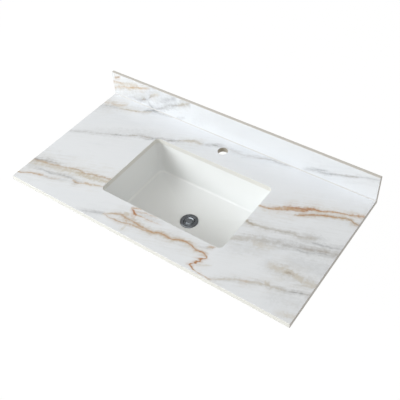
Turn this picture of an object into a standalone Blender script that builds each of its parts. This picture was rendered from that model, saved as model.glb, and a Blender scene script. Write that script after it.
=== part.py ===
"""Vanity sink top: a stone slab with a backsplash, an undermount basin and a push-to-open drain.

The origin lies on the slab's underside, in the middle of the strip that rests on the cabinet's
rear rail. X runs along the slab to the right, Y towards the wall and Z up. Lengths are in metres.
"""
from math import cos, hypot, pi, radians, sin, tan

import bmesh
import bpy
from mathutils import Matrix, Vector

# Clearances and counts
SEAT_GAP = 0.0003
OVERRUN = 0.002
MERGE = 0.000001
ARC_STEPS = 5
CORNER_STEPS = 6
LONG_SIDE_STEPS = 8
SHORT_SIDE_STEPS = 6
FLOOR_STEPS = 6
ROUND_STEPS = 36
SMALL_ROUND_STEPS = 14
SMOOTH_ANGLE = radians(38)

# Stone slab
SLAB_LENGTH = 1.0922
SLAB_DEPTH = 0.5588
SLAB_THICKNESS = 0.018
SLAB_ARRIS = 0.001
RAIL_BEARING = 0.040
CUTOUT_LENGTH = 0.4826
CUTOUT_WIDTH = 0.3048
CUTOUT_CORNER = 0.015
CUTOUT_REAR_MARGIN = 0.1377
FAUCET_HOLE_RADIUS = 0.0175
FAUCET_SETBACK = 0.0717

# Backsplash and the bead that it stands on
SPLASH_RISE = 0.100
SPLASH_THICKNESS = 0.012
SPLASH_BEAD = 0.0008
SPLASH_FILLET = 0.0022

# Basin
BOWL_BEAD = 0.0015
BOWL_BEAD_WIDTH = 0.012
REVEAL = 0.003
BOWL_CORNER = 0.022
BOWL_WALL_DEPTH = 0.122
WALL_DRAFT = 0.015
FOLD_RADIUS = 0.011
FLOOR_FALL = 0.0185
FLOOR_BOW = 1.25
CHINA = 0.010
RIM_WIDTH = 0.026
RIM_THICKNESS = 0.014
RIM_ROUND = 0.003
BOSS_RADIUS = 0.043
BOSS_DEPTH = 0.030
DRAIN_HOLE_RADIUS = 0.0225
RECESS_DEPTH = 0.003
RECESS_CLEARANCE = 0.0012

# Overflow in the basin's front wall
OVERFLOW_DROP = 0.040
OVERFLOW_LENGTH = 0.030
OVERFLOW_HEIGHT = 0.012
DUCT_WIDTH = 0.040
DUCT_DEPTH = 0.009
DUCT_WEB = 0.007
DUCT_HEADROOM = 0.008
DUCT_HOUSING_ROUND = 0.005

# Clips that clamp the basin's rim
CLIP_SPREAD_SHARE = 0.62
CLIP_WIDTH = 0.025
CLIP_SHEET = 0.002
CLIP_TOE = 0.008
CLIP_BEND = 0.002
STUD_OFFSET = 0.009
STUD_RADIUS = 0.003
STUD_PLAY = 0.0004
STUD_TAIL = 0.004
SLOT_TRAVEL = 0.003
CLIP_HEEL_OFFSET = 0.011
ANCHOR_DEPTH = 0.011
ANCHOR_WALL = 0.0013
WASHER_RADIUS = 0.0065
WASHER_SHEET = 0.0012
NUT_HEIGHT = 0.007
NUT_TOP_RADIUS = 0.0062
NUT_TIP_RADIUS = 0.0048
WING_REACH = 0.013
WING_SHEET = 0.0022
WING_DROP = 0.006
WING_ROUND = 0.0014

# Drain body, measured down from the top of its flange
FLANGE_RADIUS = 0.03175
FLANGE_HEIGHT = 0.003
FLANGE_LIP = 0.001
FLANGE_CROWN = 0.004
BEVEL_WIDTH = 0.0025
BEVEL_DEPTH = 0.003
THROAT_RADIUS = 0.019
THROAT_DEPTH = 0.0085
BORE_RADIUS = 0.017
SEAT_CONE_DEPTH = 0.003
BODY_RADIUS = 0.0206
BODY_TAIL = 0.014
SLOT_TOP = 0.0115
SLOT_HEIGHT = 0.014
SLOT_WIDTH = 0.009
SLOT_COUNT = 4

# Seals and nut under the basin
GASKET = 0.0015
GASKET_RADIUS = 0.029
GASKET_PLAY = 0.0004
CONE_GASKET_HEIGHT = 0.011
CONE_GASKET_PLUG = 0.003
CONE_GASKET_RADIUS = 0.031
CONE_GASKET_FOOT = 0.027
CONE_GASKET_RIM = 0.005
FRICTION_SHEET = 0.0015
LOCK_NUT_RADIUS = 0.031
LOCK_NUT_HEIGHT = 0.010
LOCK_NUT_SIDES = 6
LOCK_NUT_CHAMFER = 0.0012

# Tailpiece
TAIL_RADIUS = 0.015875
TAIL_WALL = 0.0015
TAIL_LENGTH = 0.100
TAIL_COLLAR_HEIGHT = 0.006
TAIL_THREAD_LENGTH = 0.012
TAIL_WASHER = 0.0015

# Stopper and its cartridge
STOPPER_TRAVEL = 0.009
CAP_SINK = 0.002
CAP_PLAY = 0.0005
CAP_DOME = 0.0008
CAP_EDGE = 0.0018
CAP_DISC = 0.003
SKIRT_RADIUS = 0.0135
SKIRT_HEIGHT = 0.005
SOCKET_DEPTH = 0.0045
SEAL_HEIGHT = 0.0042
SEAL_INSET = 0.0008
POST_RADIUS = 0.004
SHOULDER_RADIUS = 0.0060
SHOULDER_HEIGHT = 0.003
SPRING_ROOM = 0.010
SPRING_WIRE_RADIUS = 0.0005
SPRING_TURNS = 5
SPRING_TURN_STEPS = 10
SLEEVE_WALL = 0.0016
SLEEVE_LIP = 0.0015
SLEEVE_FLOOR = 0.002
SLEEVE_HEADROOM = 0.001
COLLAR_WIDTH = 0.0006
COLLAR_HEIGHT = 0.002
SPIGOT_RADIUS = 0.0058
VENT_RADIUS = 0.002
HUB_WALL = 0.0025
HUB_HEIGHT = 0.009
RIB_SHEET = 0.003
RIB_COUNT = 4

# Places that follow from the sizes above
REAR_EDGE = RAIL_BEARING / 2
FRONT_EDGE = REAR_EDGE - SLAB_DEPTH
CUTOUT_CENTRE = REAR_EDGE - CUTOUT_REAR_MARGIN - CUTOUT_WIDTH / 2
FAUCET_CENTRE = REAR_EDGE - FAUCET_SETBACK
OPENING_X = CUTOUT_LENGTH / 2 + REVEAL
OPENING_Y = CUTOUT_WIDTH / 2 + REVEAL
RIM_LEVEL = -(BOWL_BEAD + 2 * SEAT_GAP)
RECESS_RADIUS = FLANGE_RADIUS + RECESS_CLEARANCE
FOLD_LEVEL = -BOWL_WALL_DEPTH
FLOOR_LEVEL = FOLD_LEVEL - FLOOR_FALL
SEAT_LEVEL = FLOOR_LEVEL - RECESS_DEPTH
BOSS_LEVEL = SEAT_LEVEL - BOSS_DEPTH
FLANGE_LEVEL = RIM_LEVEL + SEAT_LEVEL + GASKET + 2 * SEAT_GAP + FLANGE_HEIGHT
NUT_INNER_RADIUS = BODY_RADIUS + GASKET_PLAY
CONE_GASKET_TOP = RIM_LEVEL + BOSS_LEVEL - FLANGE_LEVEL - SEAT_GAP
FRICTION_TOP = CONE_GASKET_TOP - CONE_GASKET_HEIGHT - SEAT_GAP
LOCK_NUT_TOP = FRICTION_TOP - FRICTION_SHEET - SEAT_GAP
BODY_END = LOCK_NUT_TOP - LOCK_NUT_HEIGHT - BODY_TAIL
TAIL_COLLAR_TOP = BODY_END - TAIL_WASHER - 2 * SEAT_GAP
CAP_TOP = -CAP_SINK
CAP_UNDERSIDE = CAP_TOP - CAP_DISC
SKIRT_END = CAP_UNDERSIDE - SKIRT_HEIGHT
SLEEVE_TOP = SKIRT_END - SLEEVE_HEADROOM
SHOULDER_TOP = SLEEVE_TOP - SLEEVE_LIP - SEAT_GAP - STOPPER_TRAVEL
SHOULDER_END = SHOULDER_TOP - SHOULDER_HEIGHT
SLEEVE_FLOOR_TOP = SHOULDER_END - SPRING_ROOM
COLLAR_END = SLEEVE_FLOOR_TOP - SLEEVE_FLOOR
HUB_TOP = COLLAR_END - SEAT_GAP
SLEEVE_BORE = SHOULDER_RADIUS + SEAT_GAP
SLEEVE_RADIUS = SLEEVE_BORE + SLEEVE_WALL
HUB_BORE = SPIGOT_RADIUS + SEAT_GAP
HUB_RADIUS = HUB_BORE + HUB_WALL

# Finishes: colour, roughness, metallic
FINISHES = {
    "stone": ((0.78, 0.79, 0.80, 1), 0.22, 0.0),
    "china": ((0.86, 0.87, 0.86, 1), 0.08, 0.0),
    "silicone": ((0.80, 0.78, 0.72, 1), 0.45, 0.0),
    "dark_chrome": ((0.16, 0.17, 0.18, 1), 0.18, 1.0),
    "brass": ((0.70, 0.50, 0.22, 1), 0.35, 1.0),
    "steel": ((0.55, 0.56, 0.57, 1), 0.35, 1.0),
    "rubber": ((0.03, 0.03, 0.03, 1), 0.75, 0.0),
    "nylon": ((0.75, 0.75, 0.72, 1), 0.50, 0.0),
}


def clear_scene():
    for item in list(bpy.data.objects):
        bpy.data.objects.remove(item, do_unlink=True)


def finish(name):
    """One Principled material for each finish, made on first use."""
    found = bpy.data.materials.get(name)
    if found:
        return found
    colour, roughness, metallic = FINISHES[name]
    made = bpy.data.materials.new(name)
    made.use_nodes = True
    shader = made.node_tree.nodes["Principled BSDF"]
    shader.inputs["Base Color"].default_value = colour
    shader.inputs["Roughness"].default_value = roughness
    shader.inputs["Metallic"].default_value = metallic
    made.diffuse_color = colour
    return made


def to_mesh(bm, name):
    """Closes a bmesh into a mesh with its faces out and its round stretches smooth."""
    bmesh.ops.remove_doubles(bm, verts=bm.verts, dist=MERGE)
    bmesh.ops.recalc_face_normals(bm, faces=bm.faces)
    mesh = bpy.data.meshes.new(name)
    bm.to_mesh(mesh)
    bm.free()
    mesh.shade_smooth()
    mesh.set_sharp_from_angle(angle=SMOOTH_ANGLE)
    return mesh


def add_object(name, mesh, finish_name, parent=None, location=(0, 0, 0), turn=0.0):
    item = bpy.data.objects.new(name, mesh)
    bpy.context.scene.collection.objects.link(item)
    item.location = location
    item.rotation_euler.z = turn
    item.parent = parent
    if finish_name and not mesh.materials:
        mesh.materials.append(finish(finish_name))
    return item


def add_empty(name, location, parent=None):
    return add_object(name, None, None, parent, location)


def add_cutter(name, mesh, parent=None):
    """A helper solid that only booleans use."""
    item = add_object(name, mesh, None, parent)
    item.hide_render = True
    item.display_type = "WIRE"
    return item


def boolean(item, tool, operation):
    modifier = item.modifiers.new(tool.name, "BOOLEAN")
    modifier.object = tool
    modifier.operation = operation
    modifier.solver = "EXACT"


def evaluated_mesh(item, name):
    """The mesh of an object with its modifiers applied; the object itself is then removed."""
    bpy.context.view_layer.update()
    graph = bpy.context.evaluated_depsgraph_get()
    mesh = bpy.data.meshes.new_from_object(item.evaluated_get(graph))
    mesh.name = name
    for modifier in list(item.modifiers):
        bpy.data.objects.remove(modifier.object, do_unlink=True)
    bpy.data.objects.remove(item, do_unlink=True)
    return mesh


def filleted(before, corner, after, radius, steps=ARC_STEPS):
    """Points of the arc that rounds a corner of a profile, from one tangent point to the other."""
    corner = Vector(corner)
    back = (Vector(before) - corner).normalized()
    ahead = (Vector(after) - corner).normalized()
    half = back.angle(ahead) / 2
    centre = corner + (back + ahead).normalized() * radius / sin(half)
    start = corner + back * radius / tan(half) - centre
    sweep = (pi - 2 * half) * (1 if back.cross(ahead) < 0 else -1)
    turns = [Matrix.Rotation(sweep * step / steps, 2) for step in range(steps + 1)]
    return [tuple(centre + turn @ start) for turn in turns]


def quarter(centre, across, up, start=pi / 2):
    """Points of a quarter of an ellipse that runs clockwise from a start angle."""
    angles = [start - pi / 2 * step / ARC_STEPS for step in range(ARC_STEPS + 1)]
    return [(centre[0] + across * cos(a), centre[1] + up * sin(a)) for a in angles]


def rounded_outline(half_x, half_y, corner, long_steps=1, short_steps=1, corner_steps=CORNER_STEPS):
    """A rectangle with round corners, run anticlockwise from its right side."""
    points = []
    for index, (sx, sy) in enumerate(((1, 1), (-1, 1), (-1, -1), (1, -1))):
        centre = Vector((sx * (half_x - corner), sy * (half_y - corner)))
        arc = []
        for step in range(corner_steps + 1):
            angle = pi / 2 * (index + step / corner_steps)
            arc.append(centre + corner * Vector((cos(angle), sin(angle))))
        points.append((arc, long_steps if index % 2 == 0 else short_steps))
    outline = []
    for index, (arc, side_steps) in enumerate(points):
        following = points[(index + 1) % len(points)][0][0]
        outline += arc
        outline += [arc[-1].lerp(following, step / side_steps) for step in range(1, side_steps)]
    pairs = zip(outline, outline[1:] + outline[:1])
    return [tuple(point) for point, following in pairs if (following - point).length > MERGE]


def basin_outline(inset, corner):
    """A level outline of the basin, inset from its opening."""
    return rounded_outline(OPENING_X - inset, OPENING_Y - inset, corner, LONG_SIDE_STEPS, SHORT_SIDE_STEPS)


def loop_at(bm, outline, level):
    verts = [bm.verts.new((x, y, level)) for x, y in outline]
    return verts, [bm.edges.new(pair) for pair in zip(verts, verts[1:] + verts[:1])]


def lofted(rings):
    """Joins each level ring to the next one with flat triangles and caps both ends."""
    bm = bmesh.new()
    loops = [loop_at(bm, outline, level)[0] for outline, level in rings]
    for upper, lower in zip(loops, loops[1:]):
        for corners in zip(upper, upper[1:] + upper[:1], lower[1:] + lower[:1], lower):
            bm.faces.new(corners)
    bmesh.ops.triangulate(bm, faces=bm.faces)
    for verts in (loops[0], loops[-1]):
        bm.faces.new(verts)
    return bm


def turned(profile, steps=ROUND_STEPS):
    """Spins a profile of radius and height about Z. One that ends on the axis stays open there."""
    bm = bmesh.new()
    verts = [bm.verts.new((radius, 0, level)) for radius, level in profile]
    pairs = list(zip(verts, verts[1:]))
    if profile[0][0] > 0:
        pairs.append((verts[-1], verts[0]))
    edges = [bm.edges.new(pair) for pair in pairs]
    bmesh.ops.spin(bm, geom=verts + edges, axis=(0, 0, 1), cent=(0, 0, 0), angle=2 * pi,
                   steps=steps, use_merge=True)
    return bm


def extruded(points, vector):
    """A flat outline of 3D points drawn out along a vector."""
    bm = bmesh.new()
    face = bm.faces.new([bm.verts.new(point) for point in points])
    grown = bmesh.ops.extrude_face_region(bm, geom=[face])["geom"]
    bmesh.ops.translate(bm, verts=[g for g in grown if isinstance(g, bmesh.types.BMVert)], vec=vector)
    return bm


def upright(outline, low, high):
    """A level outline drawn up from one height to another."""
    return extruded([(x, y, low) for x, y in outline], (0, 0, high - low))


def plate(outlines, low, high):
    """A flat plate from an outer outline and the outlines of its holes."""
    bm = bmesh.new()
    edges = []
    for outline in outlines:
        edges += loop_at(bm, outline, low)[1]
    bmesh.ops.triangle_fill(bm, edges=edges, use_beauty=True)
    grown = bmesh.ops.extrude_face_region(bm, geom=bm.faces[:])["geom"]
    rise = [g for g in grown if isinstance(g, bmesh.types.BMVert)]
    bmesh.ops.translate(bm, verts=rise, vec=(0, 0, high - low))
    return bm


def bevel_edges(bm, chosen, width, segments=1):
    edges = [edge for edge in bm.edges if chosen(edge)]
    bmesh.ops.bevel(bm, geom=edges, offset=width, segments=segments, profile=0.5, affect="EDGES",
                    material=-1)


def at_level(edge, level):
    return all(abs(vert.co.z - level) < MERGE for vert in edge.verts)


def circle_outline(radius, steps, centre=(0, 0)):
    angles = [2 * pi * step / steps for step in range(steps)]
    return [(centre[0] + radius * cos(a), centre[1] + radius * sin(a)) for a in angles]


def grouped(mesh, places, name):
    """Copies of one mesh at several places, kept as separate bodies of one mesh."""
    bm = bmesh.new()
    for place in places:
        first = len(bm.verts)
        bm.from_mesh(mesh)
        bm.verts.ensure_lookup_table()
        bmesh.ops.transform(bm, matrix=place, verts=bm.verts[first:])
    return to_mesh(bm, name)


def moved(outline, x, y):
    return [(px + x, py + y) for px, py in outline]


def clip_places():
    """Where each clip meets the rim's edge, turned to face out: two on each long side."""
    edge = OPENING_Y + RIM_WIDTH
    spread = CLIP_SPREAD_SHARE * OPENING_X
    sites = [(x * spread, y * edge, y * pi / 2) for x in (-1, 1) for y in (-1, 1)]
    return [Matrix.Translation((x, y + CUTOUT_CENTRE, 0)) @ Matrix.Rotation(turn, 4, "Z")
            for x, y, turn in sites]


def anchor_radius():
    return STUD_RADIUS + STUD_PLAY + ANCHOR_WALL


def build_slab():
    """The slab, with the basin's cut-out, the faucet hole and blind holes for the anchors."""
    half = SLAB_LENGTH / 2
    outer = [(-half, FRONT_EDGE), (half, FRONT_EDGE), (half, REAR_EDGE), (-half, REAR_EDGE)]
    cutout = rounded_outline(CUTOUT_LENGTH / 2, CUTOUT_WIDTH / 2, CUTOUT_CORNER)
    faucet = circle_outline(FAUCET_HOLE_RADIUS, ROUND_STEPS, (0, FAUCET_CENTRE))
    bm = plate((outer, moved(cutout, 0, CUTOUT_CENTRE), faucet), 0, SLAB_THICKNESS)
    bmesh.ops.dissolve_limit(bm, angle_limit=radians(1), verts=bm.verts, edges=bm.edges)
    bevel_edges(bm, lambda e: at_level(e, SLAB_THICKNESS) and e.calc_face_angle(0) > 1, SLAB_ARRIS)
    slab = add_object("stone_top", to_mesh(bm, "stone_top"), "stone")

    hole = upright(circle_outline(anchor_radius() + SEAT_GAP, SMALL_ROUND_STEPS),
                   -OVERRUN, ANCHOR_DEPTH + SEAT_GAP)
    hole_mesh = to_mesh(hole, "anchor_hole")
    holes = grouped(hole_mesh, [place @ Matrix.Translation((STUD_OFFSET, 0, 0))
                                for place in clip_places()], "anchor_holes")
    boolean(slab, add_cutter("anchor_holes", holes), "DIFFERENCE")


def build_splash():
    """The backsplash, and the bead of silicone that it stands on and that shows as a fillet."""
    half = SLAB_LENGTH / 2
    front = REAR_EDGE - SPLASH_THICKNESS
    bead_top = SLAB_THICKNESS + SEAT_GAP + SPLASH_BEAD
    foot = bead_top + SEAT_GAP
    top = SLAB_THICKNESS + SPLASH_RISE
    panel = [(-half, front, foot), (-half, front, top), (-half, REAR_EDGE, top), (-half, REAR_EDGE, foot)]
    bm = extruded(panel, (SLAB_LENGTH, 0, 0))
    bevel_edges(bm, lambda e: all(v.co.y < front + MERGE or v.co.z > top - MERGE for v in e.verts)
                and not at_level(e, foot), SLAB_ARRIS)
    add_object("backsplash", to_mesh(bm, "backsplash"), "stone")

    nose = front - SEAT_GAP
    low = SLAB_THICKNESS + SEAT_GAP
    hollow = quarter((nose - SPLASH_FILLET, low + SPLASH_FILLET), SPLASH_FILLET, SPLASH_FILLET, 0)
    section = [(REAR_EDGE - SLAB_ARRIS, low)] + hollow[::-1]
    section += [(nose, bead_top), (REAR_EDGE - SLAB_ARRIS, bead_top)]
    points = [(-half, y, z) for y, z in section]
    bead = extruded(points, (SLAB_LENGTH, 0, 0))
    add_object("backsplash_seal", to_mesh(bead, "backsplash_seal"), "silicone")


def wall_inset(level):
    """How far the drafted wall leans in at a height below the rim."""
    return WALL_DRAFT * level / FOLD_LEVEL


def floor_rings(start, end_radius, first_level, last_level):
    """Rings that pass from a rounded rectangle to a circle as the floor falls to the drain."""
    rings = []
    for step in range(1, FLOOR_STEPS + 1):
        share = step / FLOOR_STEPS
        outline = []
        for x, y in start:
            reach = end_radius / hypot(x, y)
            outline.append((x + (x * reach - x) * share, y + (y * reach - y) * share))
        fall = 1 - (1 - share) ** FLOOR_BOW
        rings.append((outline, first_level + (last_level - first_level) * fall))
    return rings


def fold_rings(offset, radius, top):
    """The wall's foot: from a point on the drafted wall, round the fold, to the floor."""
    corner = (WALL_DRAFT - offset, FOLD_LEVEL - offset)
    inward = (corner[0] + OPENING_Y, corner[1] - FLOOR_FALL)
    rings = []
    for inset, level in filleted(top, corner, inward, radius):
        trim = max(inset + offset - WALL_DRAFT, 0)
        rings.append((basin_outline(inset, BOWL_CORNER + offset - trim), level))
    return rings


def basin_inside():
    """The space inside the basin, from above its rim down to the drain's recess."""
    lip = quarter((-RIM_ROUND, -RIM_ROUND), RIM_ROUND, RIM_ROUND)
    profile = [(-RIM_ROUND, OVERRUN)] + lip
    rings = [(basin_outline(inset, BOWL_CORNER - inset), level) for inset, level in profile]
    rings += fold_rings(0, FOLD_RADIUS, (0, 0))
    floor, level = rings[-1]
    rings += floor_rings(floor, RECESS_RADIUS, level, FLOOR_LEVEL)
    rings.append((rings[-1][0], SEAT_LEVEL))
    return rings


def basin_outside():
    """The basin's outer skin: rim, walls, underside and drain boss."""
    edge = -RIM_WIDTH
    wall = wall_inset(-RIM_THICKNESS) - CHINA
    rim = [(edge + RIM_ROUND, 0), (edge, -RIM_ROUND), (edge, -RIM_THICKNESS + RIM_ROUND),
           (edge + RIM_ROUND, -RIM_THICKNESS), (wall - RIM_ROUND, -RIM_THICKNESS),
           (wall, -RIM_THICKNESS - RIM_ROUND)]
    rings = [(basin_outline(inset, BOWL_CORNER - inset), level) for inset, level in rim]
    rings += fold_rings(CHINA, FOLD_RADIUS + CHINA, (-CHINA, 0))
    floor, level = rings[-1]
    rings += floor_rings(floor, BOSS_RADIUS, level, FLOOR_LEVEL - CHINA)
    boss = rings[-1][0]
    shrink = 1 - RIM_ROUND / BOSS_RADIUS
    rings.append((boss, BOSS_LEVEL + RIM_ROUND))
    rings.append(([(x * shrink, y * shrink) for x, y in boss], BOSS_LEVEL))
    return rings


def duct_side(offset, top, drain_level):
    """The overflow duct seen from the side, offset outwards from the basin's inner surface."""
    def wall(level):
        return wall_inset(level) - OPENING_Y - offset
    corner = FOLD_LEVEL - offset
    return [(wall(top), top), (wall(corner), corner), (0, drain_level)]


def build_basin():
    """The basin, with its drain hole and the overflow passage moulded into its front wall."""
    origin = add_empty("basin_origin", (0, CUTOUT_CENTRE, RIM_LEVEL))
    basin = add_object("sink_bowl", to_mesh(lofted(basin_outside()), "sink_bowl"), "china", origin)

    duct_top = -OVERFLOW_DROP + OVERFLOW_HEIGHT / 2 + DUCT_HEADROOM
    duct_ceiling = SEAT_LEVEL - DUCT_WEB
    duct_floor = duct_ceiling - DUCT_DEPTH
    inner = duct_side(DUCT_WEB, duct_top, duct_ceiling)
    outer = duct_side(DUCT_WEB + DUCT_DEPTH, duct_top, duct_floor)
    housing_top = -RIM_THICKNESS / 2
    housing_inner = duct_side(CHINA / 2, housing_top, FLOOR_LEVEL - CHINA / 2)
    housing_outer = duct_side(2 * DUCT_WEB + DUCT_DEPTH, housing_top, duct_floor - DUCT_WEB)

    def side_solid(near, far, width):
        points = [(-width / 2, y, z) for y, z in near + far[::-1]]
        return extruded(points, (width, 0, 0))

    housing = side_solid(housing_inner, housing_outer, DUCT_WIDTH + 2 * DUCT_WEB)
    bevel_edges(housing, lambda e: abs(e.verts[0].co.x - e.verts[1].co.x) < MERGE
                and min(v.co.y for v in e.verts) < -OPENING_Y / 2
                and all(any(hypot(v.co.y - y, v.co.z - z) < MERGE for y, z in housing_outer)
                        for v in e.verts), DUCT_HOUSING_ROUND, 3)
    boolean(basin, add_cutter("duct_housing", to_mesh(housing, "duct_housing"), origin), "UNION")
    duct = to_mesh(side_solid(inner, outer, DUCT_WIDTH), "overflow_duct")
    boolean(basin, add_cutter("overflow_duct", duct, origin), "DIFFERENCE")
    boolean(basin, add_cutter("basin_space", to_mesh(lofted(basin_inside()), "basin_space"), origin),
            "DIFFERENCE")
    hole = upright(circle_outline(DRAIN_HOLE_RADIUS, ROUND_STEPS), BOSS_LEVEL - OVERRUN,
                   SEAT_LEVEL + OVERRUN)
    boolean(basin, add_cutter("drain_hole", to_mesh(hole, "drain_hole"), origin), "DIFFERENCE")

    wall_y = wall_inset(-OVERFLOW_DROP) - OPENING_Y
    slot = rounded_outline(OVERFLOW_LENGTH / 2, OVERFLOW_HEIGHT / 2, OVERFLOW_HEIGHT / 2)
    far_y = wall_y - DUCT_WEB - DUCT_DEPTH / 2
    points = [(x, far_y, z - OVERFLOW_DROP) for x, z in slot]
    mouth = extruded(points, (0, wall_y + DUCT_WEB - far_y, 0))
    boolean(basin, add_cutter("overflow_mouth", to_mesh(mouth, "overflow_mouth"), origin), "DIFFERENCE")


def build_basin_bead():
    """The silicone bead between the basin's rim and the slab's underside."""
    outlines = []
    for grow in (RIM_ROUND + SEAT_GAP, RIM_ROUND + SEAT_GAP + BOWL_BEAD_WIDTH):
        outlines.append(rounded_outline(OPENING_X + grow, OPENING_Y + grow, BOWL_CORNER + grow))
    bm = plate(outlines, 0, BOWL_BEAD)
    add_object("bowl_seal", to_mesh(bm, "bowl_seal"), "silicone",
               location=(0, CUTOUT_CENTRE, RIM_LEVEL + SEAT_GAP))


def build_clip(bar_top):
    """One bent clip: its toe holds the rim, its heel bears on the slab, and it is slotted."""
    toe, heel = -CLIP_TOE, STUD_OFFSET + CLIP_HEEL_OFFSET
    low = bar_top - CLIP_SHEET
    outer = filleted((toe, low), (heel, low), (heel, 0), CLIP_BEND + CLIP_SHEET)
    inner = filleted((heel - CLIP_SHEET, 0), (heel - CLIP_SHEET, bar_top), (toe, bar_top), CLIP_BEND)
    section = [(toe, low)] + outer + [(heel, -SEAT_GAP), (heel - CLIP_SHEET, -SEAT_GAP)]
    section += inner + [(toe, bar_top)]
    bm = extruded([(x, -CLIP_WIDTH / 2, z) for x, z in section], (0, CLIP_WIDTH, 0))
    clip = add_object("clip_blank", to_mesh(bm, "clip_blank"), "steel")
    slot_radius = STUD_RADIUS + STUD_PLAY
    outline = rounded_outline(slot_radius + SLOT_TRAVEL, slot_radius, slot_radius)
    slot = upright(moved(outline, STUD_OFFSET, 0), low - OVERRUN, bar_top + OVERRUN)
    boolean(clip, add_cutter("clip_slot", to_mesh(slot, "clip_slot")), "DIFFERENCE")
    return evaluated_mesh(clip, "bowl_clip")


def build_wing_nut(top):
    """A wing nut: a tapered hub with two rounded wings that reach down past it."""
    bore = STUD_RADIUS + STUD_PLAY
    end = top - NUT_HEIGHT
    hub = turned([(bore, top), (NUT_TOP_RADIUS, top), (NUT_TIP_RADIUS, end), (bore, end)],
                 SMALL_ROUND_STEPS)
    nut = add_object("wing_nut_hub", to_mesh(hub, "wing_nut_hub"), "steel")
    for side in (-1, 1):
        root = (bore + NUT_TIP_RADIUS) / 2
        shoulder = top - NUT_HEIGHT / 2
        foot = end + WING_SHEET / 2
        tip = end - WING_DROP
        outline = [(root, shoulder)]
        outline += filleted((root, shoulder), (WING_REACH, end), (WING_REACH, tip), WING_ROUND)
        outline += filleted((WING_REACH, end), (WING_REACH, tip), (root, foot), WING_ROUND)
        outline.append((root, foot))
        points = [(side * x, -WING_SHEET / 2, z) for x, z in outline]
        wing = to_mesh(extruded(points, (0, WING_SHEET, 0)), "wing")
        boolean(nut, add_cutter(f"wing_{side}", wing), "UNION")
    return evaluated_mesh(nut, "wing_nut")


def build_clamps():
    """The clips with their anchors, studs, washers and wing nuts."""
    bar_top = RIM_LEVEL - RIM_THICKNESS - SEAT_GAP
    washer_top = bar_top - CLIP_SHEET - SEAT_GAP
    nut_top = washer_top - WASHER_SHEET - SEAT_GAP
    stud_end = nut_top - NUT_HEIGHT - STUD_TAIL
    bore = STUD_RADIUS + STUD_PLAY
    chamfer = STUD_PLAY
    anchor = turned([(bore, 0), (anchor_radius(), 0), (anchor_radius(), ANCHOR_DEPTH),
                     (bore, ANCHOR_DEPTH)], SMALL_ROUND_STEPS)
    washer = turned([(bore, washer_top), (WASHER_RADIUS, washer_top),
                     (WASHER_RADIUS, washer_top - WASHER_SHEET), (bore, washer_top - WASHER_SHEET)],
                    SMALL_ROUND_STEPS)
    stud = turned([(0, ANCHOR_DEPTH), (STUD_RADIUS - chamfer, ANCHOR_DEPTH),
                   (STUD_RADIUS, ANCHOR_DEPTH - chamfer), (STUD_RADIUS, stud_end + chamfer),
                   (STUD_RADIUS - chamfer, stud_end), (0, stud_end)], SMALL_ROUND_STEPS)
    clip = build_clip(bar_top)
    on_stud = {
        "stud_anchor": (to_mesh(anchor, "stud_anchor"), "brass"),
        "clip_stud": (to_mesh(stud, "clip_stud"), "steel"),
        "clip_washer": (to_mesh(washer, "clip_washer"), "steel"),
        "clip_wing_nut": (build_wing_nut(nut_top), "steel"),
    }
    for index, place in enumerate(clip_places(), 1):
        turn = place.to_euler().z
        add_object(f"bowl_clip_{index}", clip, "steel", None, place.translation, turn)
        station = place @ Vector((STUD_OFFSET, 0, 0))
        for name, (mesh, finish_name) in on_stud.items():
            add_object(f"{name}_{index}", mesh, finish_name, None, station, turn)


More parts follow.
